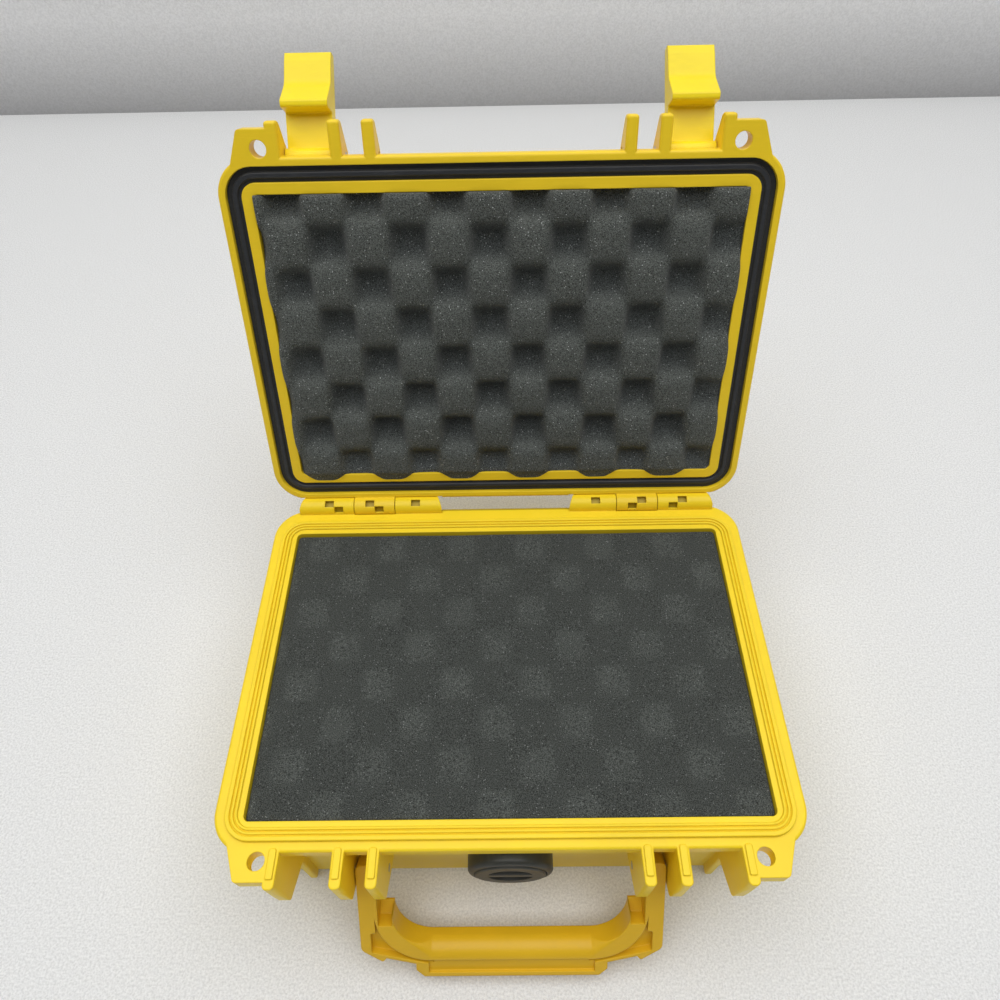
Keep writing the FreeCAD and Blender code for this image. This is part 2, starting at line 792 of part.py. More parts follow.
def base_shell():
    pieces = [base_tub()]
    cuts = [base_hollow()]
    for name, x in rib_places():
        pieces.append(base_rib("base_rib_" + name, x))
    for side_name, side in SIDES.items():
        pieces.append(wall_ridge("wall_ridge_" + side_name, "%d * %s" % (side, RIB_OUTER)))
    pieces.append(cylinder("valve_boss", "boss_radius", "boss_height + wall / 2",
                           "0", WALL_FRONT + " + wall / 2", VALVE_Z, "Y"))
    for side_name, side in SIDES.items():
        pieces.append(padlock_ear("base_ear_" + side_name, side, PARTING, False))
        cuts.append(ear_hole("base_ear_hole_" + side_name, side, PARTING))
        lid, inner, outer = knuckle_starts(side)
        cuts.append(knuckle_clearance("base_hinge_gap_" + side_name, lid, "lid_knuckle"))
        inner_flares, outer_flares = knuckle_flares(side)
        pieces += knuckle("base_outer_knuckle_" + side_name, outer, "outer_knuckle", False, outer_flares)
        pieces += knuckle("base_inner_knuckle_" + side_name, inner, "inner_knuckle", False, inner_flares)
        outer_middle = outer + " + outer_knuckle / 2"
        inner_middle = inner + " + inner_knuckle / 2"
        name = "base_window_" + side_name
        cuts.append(knuckle_window(name + "_high", outer_middle, "window_high"))
        low_middle = "%s - %d * window_step" % (outer_middle, side)
        cuts.append(knuckle_window(name + "_low", low_middle, "window_low"))
        cuts.append(knuckle_window(name + "_inner", inner_middle, "window_high"))
        cuts.append(hinge_bore("base_hinge_bore_" + side_name, side))
        bore_start = "%d * %s - arm_bay - rib_width" % (side, ARM_X)
        cuts.append(cylinder("handle_bore_" + side_name, BORE, "2 * (arm_bay + rib_width)",
                             bore_start, HANDLE_Y, HANDLE_Z, "X"))
    cuts.append(cylinder("valve_bore", "shank_radius + pin_fit", "2 * (boss_height + wall)",
                         "0", CAVITY_FRONT + " + wall / 2", VALVE_Z, "Y"))
    return cut("base_shell", fuse("base_shell_pieces", pieces), cuts)


def lid_shell():
    pieces = [lid_tub()]
    cuts = [lid_hollow()]
    for name, x in rib_places():
        pieces.append(lid_rib("lid_rib_" + name, x))
    for side_name, side in SIDES.items():
        pieces.append(padlock_ear("lid_ear_" + side_name, side, LID_PLANE, True))
        cuts.append(ear_hole("lid_ear_hole_" + side_name, side, LID_PLANE))
        lid, inner, outer = knuckle_starts(side)
        pieces += knuckle("lid_knuckle_" + side_name, lid, "lid_knuckle", True, (0, 0))
        inner_flares, outer_flares = knuckle_flares(side)
        cuts.append(knuckle_clearance("lid_inner_gap_" + side_name, inner, "inner_knuckle", inner_flares))
        cuts.append(knuckle_clearance("lid_outer_gap_" + side_name, outer, "outer_knuckle", outer_flares))
        middle = "%d * (%s + window_step / 2)" % (side, HINGE_X)
        name = "lid_window_" + side_name
        cuts.append(knuckle_window(name + "_high", middle, "window_high - lid_swing"))
        low_middle = "%s - %d * window_step" % (middle, side)
        cuts.append(knuckle_window(name + "_low", low_middle, "window_low - lid_swing"))
        cuts.append(hinge_bore("lid_hinge_bore_" + side_name, side))
        bore_start = "%d * %s - latch_bay - rib_width" % (side, LATCH_X)
        cuts.append(cylinder("latch_bore_" + side_name, BORE, "2 * (latch_bay + rib_width)",
                             bore_start, LATCH_PIN_Y, LATCH_PIN_Z, "X"))
        relief = "(latch_bay - rib_width - side_gap)"
        relief_start = "%d * %s - %s / 2" % (side, LATCH_X, relief)
        cuts.append(cylinder("latch_relief_" + side_name, "latch_eye + latch_gap", relief,
                             relief_start, LATCH_PIN_Y, LATCH_PIN_Z, "X"))
    shell = cut("lid_shell", fuse("lid_shell_pieces", pieces), cuts)
    open_with_lid(shell)
    return shell


def lid_gasket():
    """Rubber ring that fills the groove, with a rounded ridge just clear of the beads when closed."""
    body = new_body("lid_gasket")
    crown = LID_PLANE + " + " + LAND_DROP
    ring = new_sketch(body, "gasket_ring", "XY_Plane", crown + " + ridge_height")
    add_loop(ring, rim_loop("groove_inset + gasket_fit"))
    add_loop(ring, rim_loop("groove_inset + groove_width - gasket_fit"))
    pad(ring, "groove_depth - ridge_height - " + LAND_DROP)
    ridge = new_sketch(body, "gasket_ridge", "XY_Plane", crown)
    add_loop(ridge, rim_loop("groove_inset + ridge_start"))
    add_loop(ridge, rim_loop("groove_inset + ridge_start + ridge_width"))
    solid = pad(ridge, "ridge_height")
    round_edges(solid, "gasket_round", at_height(crown))
    open_with_lid(body)
    return body


def lid_foam():
    """Egg-crate foam: a slab against the lid's roof with two staggered grids of square bumps."""
    body = new_body("lid_foam")
    slab = new_sketch(body, "crate_slab", "XY_Plane", CRATE_VALLEY)
    add_loop(slab, rectangle("rim_width + 3 * crate_pitch", "rim_depth + 3 * crate_pitch"))
    pad(slab, LID_TOP + " - lid_roof - " + CRATE_VALLEY)
    for number in range(2):
        x = "%d * crate_pitch / 2 + crate_start_x - rim_width / 2" % number
        y = "%d * crate_pitch / 2 + crate_start_y - rim_depth / 2" % number
        foot = new_sketch(body, "crate_foot_outline_%d" % number, "XY_Plane", CRATE_VALLEY)
        add_loop(foot, rectangle("crate_foot", "crate_foot", None, x, y))
        peak = new_sketch(body, "crate_peak_outline_%d" % number, "XY_Plane", CRATE_PEAK)
        add_loop(peak, rectangle("crate_peak", "crate_peak", None, x, y))
        bump = loft(foot, peak)
        grid = body.newObject("PartDesign::LinearPattern", "crate_grid_%d" % number)
        grid.Originals = [bump]
        grid.Direction = (foot, ["H_Axis"])
        grid.Direction2 = (foot, ["V_Axis"])
        grid.Mode = "Spacing"
        grid.Mode2 = "Spacing"
        bind(grid, "Offset", "crate_pitch")
        bind(grid, "Offset2", "crate_pitch")
        bind(grid, "Occurrences", "floor(rim_width / crate_pitch) + 1")
        bind(grid, "Occurrences2", "floor(rim_depth / crate_pitch) + 1")
        body.Tip = grid
        doc.recompute()
    trim = new_sketch(body, "crate_trim", "XY_Plane", LID_TOP)
    add_loop(trim, rectangle("rim_width + 5 * crate_pitch", "rim_depth + 5 * crate_pitch"))
    add_loop(trim, rim_loop(LID_CAVITY_INSET + " + foam_gap", "foam_corner"))
    pocket(trim, LID_TOP)
    open_with_lid(body)
    return body


def base_foam_pad():
    body = new_body("base_foam_pad")
    outline = new_sketch(body, "foam_pad_outline", "XY_Plane", FLOOR_TOP)
    add_loop(outline, seat_loop(CAVITY_INSET + " + foam_gap", "foam_corner"))
    pad(outline, "foam_pad")
    return body


def base_foam_block():
    """The flat foam block, with a notch in its front face that clears the valve's nut."""
    body = new_body("base_foam_block")
    outline = new_sketch(body, "foam_block_outline", "XY_Plane", PAD_TOP)
    add_loop(outline, seat_loop(CAVITY_INSET + " + foam_gap", "foam_corner"))
    pad(outline, FOAM_TOP + " - " + PAD_TOP)
    notch = new_sketch(body, "foam_notch", "XY_Plane", VALVE_Z + " + nut_across / 2 + 2 * foam_gap")
    depth = "2 * (nut_thickness + shank_reach + 2 * foam_gap)"
    add_loop(notch, rectangle("nut_across / cos(30 deg) + 4 * foam_gap", depth, None, "0", CAVITY_FRONT))
    pocket(notch, "nut_across + 4 * foam_gap")
    return body


def latch(side_name, side):
    """One-piece clip drawn about its pin: eye, panel, hook under the base flange, ramp and finger tail."""
    body = new_body(side_name + "_latch")
    profile = new_sketch(body, side_name + "_latch_profile", "YZ_Plane")
    shelf = "(-latch_pin_rise - closing_gap - base_flange - latch_gap)"
    eye = "latch_eye"
    eye_round = "latch_eye - latch_eye_flat"
    add_loop(profile, [
        (eye, eye, eye_round),
        (eye, "-" + eye, eye_round),
        ("-latch_panel", "-" + eye, "latch_edge"),
        ("-latch_panel", shelf, "latch_edge"),
        ("latch_hook", shelf, "latch_corner"),
        ("latch_hook + latch_gap", shelf + " - latch_nose", "latch_corner"),
        ("-latch_hook / 2", shelf + " - latch_nose - latch_ramp", "latch_ramp"),
        ("-tail_back", "tail_lip - latch_tail", "tail_lip"),
        ("-tail_back - tail_step", "-latch_tail", "latch_edge / 2"),
        ("-latch_tip", "-latch_tail", "latch_corner"),
        ("-latch_heel", eye, eye_round),
    ])
    width = "latch_bay - rib_width - 2 * side_gap"
    pad(profile, width, symmetric=True)

    core = new_sketch(body, side_name + "_latch_core", "YZ_Plane")
    add_loop(core, [
        ("-2 * latch_tip", "-2 * " + eye),
        ("-latch_panel - latch_wall", "-2 * " + eye),
        ("-latch_panel - latch_wall", shelf, "latch_wall"),
        ("-latch_panel + latch_wall / 2", shelf + " - latch_wall", "latch_edge"),
        ("-latch_hook / 2 - latch_wall", shelf + " - latch_nose - latch_ramp", "latch_ramp"),
        ("-latch_tip + latch_wall", "-latch_tail + 2 * latch_nose"),
        ("-2 * latch_tip", "-latch_tail + 2 * latch_nose"),
    ])
    pocket(core, width + " - 2 * latch_wall", symmetric=True)

    bore = new_sketch(body, side_name + "_latch_bore", "YZ_Plane")
    add_circle(bore, "0", "0", BORE)
    pocket(bore, "2 * latch_bay", symmetric=True)
    swing(body, "lid_swing + latch_swing", opened(LATCH_PIN_Y, LATCH_PIN_Z, "y"),
          opened(LATCH_PIN_Y, LATCH_PIN_Z, "z"), "%d * %s" % (side, LATCH_X))
    return body


def grip_section(body, name, x, share, rise):
    """Section across the grip of the cutter that rounds its front top edge, shrunk to a share and raised."""
    face = "-handle_thickness / 2"
    top = "%s - grip_top" % rise
    radius = "grip_round * %s" % share
    ease = "grip_ease * %s" % share
    sketch = new_sketch(body, name, "YZ_Plane", x)
    add_loop(sketch, [
        ("%s - 2 * grip_ease" % face, "%s + 2 * grip_ease" % top),
        ("%s - 2 * grip_ease" % face, "%s - 2 * %s" % (top, radius)),
        ("%s - %s" % (face, ease), "%s - 2 * %s" % (top, radius)),
        ("%s + %s" % (face, ease), "%s - %s" % (top, ease), radius),
        ("%s + 2 * %s" % (face, radius), "%s + %s" % (top, ease)),
        ("%s + 2 * %s" % (face, radius), "%s + 2 * grip_ease" % top),
    ])
    return sketch


def handle():
    """Folding handle drawn hanging from its pins: flat arms, a half-round grip and a lip below."""
    body = new_body("handle")
    front = new_sketch(body, "handle_front", "XZ_Plane")
    outside = RIB_MIDDLE + " - rib_width / 2 - side_gap"
    inside = RIB_INNER + " + rib_width / 2 + side_gap"
    opening = RIB_INNER + " - rib_width / 2 - side_gap"
    corner = outside + " - corner_width"
    notch = corner + " - notch_width"
    bottom = corner + " - bottom_slope"
    toe = bottom + " + toe_width"

    def lip(x):
        """The height of the slanted lip's underside at a place across the handle."""
        return "notch_height - corner_drop - lip_slope * (%s - (%s))" % (notch, x)

    outer = [
        (inside, "handle_top", "handle_top / 2"),
        (outside, "handle_top", "handle_top / 2"),
        (outside, "-handle_shoulder", "shoulder_round"),
        (corner, "-corner_drop", "handle_edge"),
        (notch, lip(notch)),
        (toe, lip(toe)),
        (toe, "toe_height - handle_bottom"),
        (bottom, "-handle_bottom", "handle_edge"),
    ]
    inner = [
        (opening, "-grip_top", "handle_bend"),
        (opening, "-handle_shelf"),
        (inside, "-handle_shelf"),
    ]
    outer_left = mirrored(-1, list(reversed(outer)))
    inner_left = mirrored(-1, list(reversed(inner)))
    add_loop(front, outer + outer_left + inner_left + inner)
    pad(front, "handle_thickness", symmetric=True)

    back = "handle_thickness / 2"
    for side_name, side in SIDES.items():
        cheek = new_sketch(body, "handle_cheek_" + side_name, "YZ_Plane", "%d * (%s)" % (side, opening))
        add_loop(cheek, [
            (back, "-handle_shelf - handle_edge"),
            (back, "-cheek_top"),
            (back + " - cheek_depth / 3", "-cheek_top"),
            (back + " - cheek_depth", "-handle_shelf"),
            (back + " - cheek_depth", "-handle_shelf - handle_edge"),
        ])
        pad(cheek, "%s - (%s)" % (inside, opening), reverse=side < 0)

    straight = "(%s - handle_bend)" % opening
    faded = "(%s - handle_bend * (1 - grip_fade))" % opening
    rise = "handle_bend * (1 - sqrt(1 - grip_fade ^ 2))"
    sections = [
        grip_section(body, "grip_fade_left", "-" + faded, "grip_end", rise),
        grip_section(body, "grip_round_left", "-" + straight, "1", "0"),
        grip_section(body, "grip_round_right", straight, "1", "0"),
        grip_section(body, "grip_fade_right", faded, "grip_end", rise),
    ]
    rounding = body.newObject("PartDesign::SubtractiveLoft", "grip_rounding")
    rounding.Profile = sections[0]
    rounding.Sections = sections[1:]
    rounding.Ruled = True
    doc.recompute()

    under_grip = "-grip_top - grip_depth"
    recess = new_sketch(body, "handle_recess", "XZ_Plane", back)
    recess_end = bottom + " - flange_lip"
    recess_right = [(recess_end, under_grip), (recess_end, "flange_lip - handle_bottom")]
    add_loop(recess, recess_right + mirrored(-1, list(reversed(recess_right))))
    pocket(recess, "flange_recess")

    corners = new_sketch(body, "handle_corner_pockets", "XZ_Plane", back)
    bend_outside = opening + " + grip_depth"
    groove_end = opening + " - handle_bend - handle_edge"
    strip = outside + " - arm_strip"
    for side in SIDES.values():
        add_loop(corners, mirrored(side, [
            (bend_outside, "-pocket_top"),
            (bend_outside, under_grip, "handle_bend + grip_depth"),
            (groove_end, under_grip),
            (groove_end, lip(groove_end) + " + lip_rim"),
            (strip, lip(strip) + " + lip_rim", "handle_edge"),
            (strip, "-pocket_top", "handle_edge"),
        ]))
    pocket(corners, "corner_pocket")

    bores = new_sketch(body, "handle_bores", "YZ_Plane")
    add_circle(bores, "0", "0", BORE)
    pocket(bores, "2 * rim_width", symmetric=True)
    swing(body, "handle_swing", HANDLE_Y, HANDLE_Z)
    return body


def pin(name, length, x, y, z):
    """A plain steel pin along X, from a start point."""
    return cylinder(name, "pin_radius", length, x, y, z, "X")


def pins():
    """The hinge, latch and handle pins of both sides."""
    items = []
    for side_name, side in SIDES.items():
        low = knuckle_starts(side)[2 if side < 0 else 1]
        hinge_length = "outer_knuckle + lid_knuckle + inner_knuckle + 2 * knuckle_gap"
        items.append(pin(side_name + "_hinge_pin", hinge_length, low, HINGE_Y, HINGE_Z))
        items.append(pin(side_name + "_latch_pin", "latch_bay + rib_width",
                         "%d * %s - (latch_bay + rib_width) / 2" % (side, LATCH_X),
                         opened(LATCH_PIN_Y, LATCH_PIN_Z, "y"), opened(LATCH_PIN_Y, LATCH_PIN_Z, "z")))
        items.append(pin(side_name + "_handle_pin", "arm_bay + rib_width",
                         "%d * %s - (arm_bay + rib_width) / 2" % (side, ARM_X), HANDLE_Y, HANDLE_Z))
    return items


def turned(name, corners):
    """A turned piece: corners (radius, y) revolved about the valve's axis."""
    body = new_body(name)
    profile = new_sketch(body, name + "_profile", "XY_Plane")
    add_loop(profile, corners)
    revolve(profile)
    place(body, "0", "0", VALVE_Z)
    return body


def valve():
    """The purge valve: body and seal outside the wall, nut inside, and a screw knob with its own seal."""
    front = VALVE_BACK + " - valve_depth"
    seat = front + " + knob_seat"
    shank_end = CAVITY_FRONT + " + nut_thickness + shank_reach"
    stem_bore = "(stem_radius + pin_fit)"
    knob_back = seat + " - seal_thickness"
    knob_front = front + " - knob_proud"
    seal_outer = "(knob_radius - seal_width / 2)"
    casing = turned("valve_body", [
        (stem_bore, shank_end),
        ("shank_radius", shank_end),
        ("shank_radius", VALVE_BACK),
        ("valve_radius", VALVE_BACK),
        ("valve_radius", front, "valve_round"),
        ("knob_radius + knob_gap", front),
        ("knob_radius + knob_gap", seat),
        (stem_bore, seat),
    ])
    casing_seal = turned("valve_body_seal", [
        ("valve_radius - 2 * seal_width", VALVE_BACK),
        ("valve_radius - seal_width", VALVE_BACK),
        ("valve_radius - seal_width", VALVE_BACK + " + seal_thickness"),
        ("valve_radius - 2 * seal_width", VALVE_BACK + " + seal_thickness"),
    ])
    knob_seal = turned("valve_knob_seal", [
        (seal_outer + " - seal_width", knob_back),
        (seal_outer, knob_back),
        (seal_outer, seat),
        (seal_outer + " - seal_width", seat),
    ])
    knob = turned("valve_knob", [
        ("0", shank_end),
        ("stem_radius", shank_end),
        ("stem_radius", knob_back),
        ("knob_radius", knob_back),
        ("knob_radius", knob_front, "knob_round"),
        ("recess_radius", knob_front),
        ("recess_radius", knob_front + " + recess_depth"),
        ("0", knob_front + " + recess_depth"),
    ])
    bar = new_sketch(knob, "valve_knob_bar", "XZ_Plane", "-(%s) - recess_depth" % knob_front)
    add_loop(bar, rectangle("2 * recess_radius", "recess_bar"))
    pad(bar, "recess_depth")

    nut = new_body("valve_nut")
    hexagon = new_sketch(nut, "valve_nut_outline", "XZ_Plane", "-(%s) - nut_thickness" % CAVITY_FRONT)
    spread = "nut_across / 2 / cos(30 deg)"
    add_loop(hexagon, [("%s * cos(%d deg)" % (spread, turn), "%s * sin(%d deg)" % (spread, turn))
                       for turn in range(0, 360, 60)])
    add_circle(hexagon, "0", "0", "shank_radius + pin_fit")
    pad(hexagon, "nut_thickness")
    place(nut, "0", "0", VALVE_Z)
    return [casing, casing_seal, knob_seal, knob, nut]


def check(nodes):
    """Stop on a failed feature, a cut that took nothing away, or a piece that isn't one sound solid."""
    cutters = ("PartDesign::Pocket", "PartDesign::SubtractiveLoft")
    for item in doc.Objects:
        if "Invalid" in item.State or "Error" in item.State:
            raise RuntimeError("failed: " + item.Name)
        if item.TypeId in cutters and item.Shape.Volume > item.BaseFeature.Shape.Volume - TINY:
            raise RuntimeError("cuts nothing: " + item.Name)
    for node in nodes:
        if node.Shape.isNull() or not node.Shape.isValid() or len(node.Shape.Solids) != 1:
            raise RuntimeError("not one sound solid: " + node.Name)


def main():
    nodes = [base_shell(), lid_shell(), lid_gasket(), handle()]
    nodes += [lid_foam(), base_foam_pad(), base_foam_block()]
    nodes += [latch(side_name, side) for side_name, side in SIDES.items()]
    nodes += pins()
    nodes += valve()
    doc.recompute()
    check(nodes)
    os.makedirs("parts", exist_ok=True)
    for node in nodes:
        node.Label = node.Name
        node.Shape.exportStep("parts/%s.step" % node.Label)
        print("%-18s %8.2f cm3" % (node.Label, node.Shape.Volume / 1000))


main()
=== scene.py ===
"""Looks of a small hard protective case: moulded, rubber and steel finishes, foam linings and a studio."""

import json
import math

import bpy
import numpy as np
from bpy.props import FloatProperty, FloatVectorProperty, PointerProperty
from mathutils import Matrix, Vector


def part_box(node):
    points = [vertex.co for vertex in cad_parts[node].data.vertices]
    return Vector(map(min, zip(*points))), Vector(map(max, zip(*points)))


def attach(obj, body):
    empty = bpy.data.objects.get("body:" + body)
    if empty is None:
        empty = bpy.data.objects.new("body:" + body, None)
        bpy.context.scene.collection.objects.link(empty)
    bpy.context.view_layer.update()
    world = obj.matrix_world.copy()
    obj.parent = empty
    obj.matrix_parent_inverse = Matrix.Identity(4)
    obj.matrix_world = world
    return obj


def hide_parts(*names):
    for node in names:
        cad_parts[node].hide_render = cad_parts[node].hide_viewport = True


bl_info = {
    "name": "Protective Case",
    "version": (1, 0, 0),
    "blender": (4, 5, 0),
    "location": "View3D > Sidebar > Case",
    "description": "Finishes, foam linings and studio of a small hard protective case",
    "category": "Object",
}

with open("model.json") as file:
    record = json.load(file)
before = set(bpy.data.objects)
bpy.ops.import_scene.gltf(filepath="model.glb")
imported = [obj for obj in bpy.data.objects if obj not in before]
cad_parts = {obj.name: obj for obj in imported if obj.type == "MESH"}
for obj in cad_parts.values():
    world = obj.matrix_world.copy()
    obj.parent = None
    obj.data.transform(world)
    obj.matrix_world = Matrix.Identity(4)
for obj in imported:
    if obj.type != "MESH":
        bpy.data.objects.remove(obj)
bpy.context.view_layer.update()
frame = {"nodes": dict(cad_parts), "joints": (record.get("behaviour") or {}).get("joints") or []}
HINGE = next(joint for joint in frame["joints"] if joint["name"] == "lid_hinge")
LID_TURN = math.radians(-HINGE["range_deg"][0])

# Forms of the foam: slow waves in radians per metre across and along, with phases, an angle, and factors.
UNEVEN_WAVES = ((61, 37, 0.4), (-43, 83, 1.9), (131, 19, 4.1))
SHARP_ANGLE = math.radians(60)
FRONT_SHARE = 0.25
FALL_POWER = 0.8
PROUD_GAIN = 0.7
LEAST_SWELL = 0.05
SLIVER_SHARE = 0.1
IMPRINT_SQUARENESS = 1.7
IMPRINT_GAIN, IMPRINT_CUT = 1.4, 0.2
IMPRINT_LEVEL, IMPRINT_PATCHES, PATCH_SPEED = 0.75, 0.25, 3
PAD_COARSENESS = 4

# Moulded finishes: tints and shares without a unit, noise scales per metre, and the grain's depth in metres.
EDGE_COSINES = (0.98, 0.80)
CLOUD_SCALE, RUB_SCALE, RUB_STRETCH = 24.0, 140.0, (1.0, 1.0, 6.0)
CLOUD_RANGE, RUB_RANGE = (0.35, 0.65), (0.50, 0.72)
POCKET_FADE = 1.25
# The second tint darkens the pockets beside the hinge pins: painted shade.
CLOUD_TINT, POCKET_SHADE_TINT = 0.94, 0.42
# The edge share sets how much paler the edges grow: partly edge wear, partly a painted highlight.
RUB_SHARE, EDGE_WEAR_HIGHLIGHT_SHARE = 0.5, 0.6
SMOOTHER, ROUGHER = 0.04, 0.08
GRAIN_STRENGTH, GRAIN_DEPTH = 0.12, 0.0001
STREAK_SCALE, STREAK_STRETCH, STREAK_TINT = 6000.0, (0.05, 1.0, 1.0), 0.8

# Foam finish: how many cells glint and how large they are, and the spread of tones between cells.
SPECKLE_DENSITY, SKIN_DENSITY = 1.2, 0.9
GLINT_CHANCE, GLINT_EDGE = (0.945, 0.975), (0.28, 0.42)
TONE_RANGE = (0.34, 0.66)
DARK_CELL, LIGHT_CELL = (0.28, 0.28, 0.28), (1.75, 1.75, 1.75)
GLINT_COLOUR = (0.56, 0.58, 0.57)

# Stage: half its width, the backdrop's height and the camera's near limit in metres, its frame in mm.
STAGE_REACH, BACKDROP_HEIGHT = 3.0, 2.0
SENSOR_WIDTH, NEAR_CLIP = 36, 0.01


def length(name, description, default):
    """A size in metres that the sidebar shows with its unit."""
    return FloatProperty(name=name, description=description, default=default, unit="LENGTH", precision=5)


def share(name, description, default):
    """A plain number without a unit."""
    return FloatProperty(name=name, description=description, default=default, precision=3)


def colour(name, description, default):
    """A linear colour."""
    return FloatVectorProperty(name=name, description=description, default=default, subtype="COLOR",
                               min=0, max=1)


class CaseFoamSettings(bpy.types.PropertyGroup):
    """Sizes and colours of the foam linings, in the closed case"""

    pitch: length("Pitch", "Distance between two bumps of one row of the lid foam", 0.0303)
    row_pitch: length("Row Pitch", "Distance between every second row of bumps", 0.0316)
    bump_x: length("Bump X", "Place of one bump across the lid", -0.0654)
    bump_y: length("Bump Y", "Place of one bump from front to back", -0.0563)
    pit_depth: length("Pit Depth", "Depth of the pits between the bumps", 0.0084)
    squareness: share("Squareness", "How square the bumps and pits are from front to back", 1.3)
    side_squareness: share("Side Squareness", "How square the bumps and pits are across the lid", 2.2)
    steepness: share("Steepness", "How steep the walls of the pits are", 1.9)
    breadth: share("Breadth", "How much broader the bumps are than the pits", 0.66)
    crown: share("Crown", "How much the bumps are domed", 0.25)
    corner: length("Corner", "Corner radius of the foam pieces", 0.0018)
    edge: length("Edge", "Rounding of the foam's cut edges", 0.0007)
    lip: length("Lip", "How far the lid foam swells over the edge of its cavity at the hinges", 0.0031)
    side_swell: share("Side Swell", "Swelling at the left and right, as a share of that at the hinges", 0.30)
    edge_pits: share("Edge Pits", "Depth of the pits that the edge cuts, as a share of the others", 0.4)
    front_ease: share("Front Ease", "Share of the edge pits' shallowing that is left at the front", 0.35)
    edge_reach: length("Edge Reach", "How far in from the edge the pits become fully deep", 0.012)
    lip_thickness: length("Lip Thickness", "Thickness of the swollen edge", 0.0015)
    lip_ease: length("Lip Ease", "How far inside its cavity the lid foam starts to round off", 0.0012)
    lip_fall: length("Lip Fall", "How far the lid foam has fallen away at its outer edge", 0.0024)
    sag: length("Sag", "How uneven the top of the base foam is", 0.0003)
    waver: length("Waver", "How far the cut of the foam strays", 0.0005)
    imprint: length("Imprint", "Depth that the lid's bumps have pressed into the base foam", 0.0003)
    imprint_shift: length("Imprint Shift", "How far in front of the bumps their imprints lie", 0.0018)
    notch_height: length("Notch Height", "Height of the notch behind the valve's nut", 0.0192)
    notch_width: length("Notch Width", "Width of the notch behind the valve's nut", 0.0220)
    notch_depth: length("Notch Depth", "Depth of the notch behind the valve's nut", 0.0052)
    step: length("Step", "Spacing of the grid that the foam is worked out on", 0.0008)
    cell: length("Cell", "Size of the foam's cells", 0.00045)
    lid_colour: colour("Lid Colour", "Colour of the lid foam", (0.094, 0.102, 0.094))
    # The pit colour is painted shade: the lid foam is darkened deep in its pits.
    pit_colour: colour("Pit Colour", "Colour of the lid foam deep in its pits", (0.080, 0.088, 0.086))
    base_colour: colour("Base Colour", "Colour of the base foam", (0.056, 0.061, 0.056))
    pressed_colour: colour("Pressed Colour", "Colour of the base foam where bumps have pressed it",
                           (0.077, 0.084, 0.077))


class CaseFinishSettings(bpy.types.PropertyGroup):
    """Colours and surface sizes of the moulded, rubber and steel pieces"""

    # One yellow plastic in lit and shaded copies: the base's and the latches' lighter, more lemon yellows
    # paint the light on them, and the lid's darker yellow and the handle's much darker, more orange yellow
    # paint their shade.
    base_colour: colour("Base", "Yellow of the base", (0.955, 0.695, 0.020))
    lid_colour: colour("Lid", "Yellow of the lid", (0.935, 0.655, 0.024))
    latch_colour: colour("Latches", "Yellow of the latches", (0.97, 0.76, 0.016))
    handle_colour: colour("Handle", "Yellow of the handle", (0.74, 0.45, 0.016))
    gasket_colour: colour("Gasket", "Colour of the lid's seal", (0.036, 0.038, 0.042))
    valve_colour: colour("Valve", "Colour of the purge valve", (0.041, 0.042, 0.036))
    seal_colour: colour("Seals", "Colour of the valve's seals", (0.015, 0.015, 0.015))
    pin_colour: colour("Pins", "Colour of the steel pins", (0.55, 0.55, 0.56))
    edge_round: length("Edge Round", "Softness of the moulded edges", 0.0006)
    grain: length("Grain", "Size of the moulded surface's grain", 0.0005)
    # Within this reach of a hinge pin its pockets get painted shade.
    pocket_reach: length("Pocket Reach", "How far from a hinge pin its pockets are grimy", 0.0027)


class CaseStageSettings(bpy.types.PropertyGroup):
    """Camera, light and floor"""

    camera_place: FloatVectorProperty(name="Camera", description="Place of the camera", subtype="TRANSLATION",
                                      unit="LENGTH", default=(0.00053, -0.13085, 0.33790))
    pitch: FloatProperty(name="Pitch", description="Tilt of the camera below the horizon", subtype="ANGLE",
                         default=math.radians(52.49))
    yaw: FloatProperty(name="Yaw", description="Turn of the camera to the right", subtype="ANGLE",
                       default=math.radians(-0.84))
    roll: FloatProperty(name="Roll", description="Turn of the picture clockwise", subtype="ANGLE",
                        default=math.radians(1.48))
    lens: FloatProperty(name="Lens", description="Focal length on a 36 mm wide frame", default=26.81,
                        unit="CAMERA")
    floor_colour: colour("Floor", "Colour of the cloth on the table", (0.845, 0.850, 0.848))
    wall_colour: colour("Backdrop", "Colour of the backdrop", (0.92, 0.92, 0.93))
    # The foot colour and height paint shade on the backdrop, darker towards the table.
    foot_colour: colour("Backdrop Foot", "Colour of the backdrop near the table", (0.47, 0.47, 0.48))
    foot_height: length("Foot Height", "Height over which the backdrop's foot grows lighter", 0.080)
    wall_y: length("Backdrop Y", "Distance of the backdrop behind the origin", 0.607)
    sky: share("Sky", "Strength of the light from all around", 0.08)
    panel_power: FloatProperty(name="Panel Power", description="Power of the ceiling panel", default=46,
                               unit="POWER")
    panel_size: length("Panel Size", "Side of the ceiling panel", 2.4)
    panel_place: FloatVectorProperty(name="Panel", description="Place of the ceiling panel",
                                     subtype="TRANSLATION", unit="LENGTH", default=(0.0, 0.2, 1.6))


def swung(points, turn):
    """Points turned about the hinge line by an angle, so that a positive turn opens the lid."""
    hinge = np.array(HINGE["pos_m"])
    across, up = (points - hinge)[:, 1], (points - hinge)[:, 2]
    out = points.copy()
    out[:, 1] = hinge[1] + across * math.cos(turn) + up * math.sin(turn)
    out[:, 2] = hinge[2] - across * math.sin(turn) + up * math.cos(turn)
    return out


def closed_block(node_name):
    """Middle, width, depth and thickness that a piece of the open lid has in the closed case."""
    vertices = frame["nodes"][node_name].data.vertices
    points = np.empty(3 * len(vertices), np.float32)
    vertices.foreach_get("co", points)
    closed = swung(points.reshape(-1, 3).astype(float), -LID_TURN)
    low, high = closed.min(axis=0), closed.max(axis=0)
    return (low + high) / 2, *(high - low)


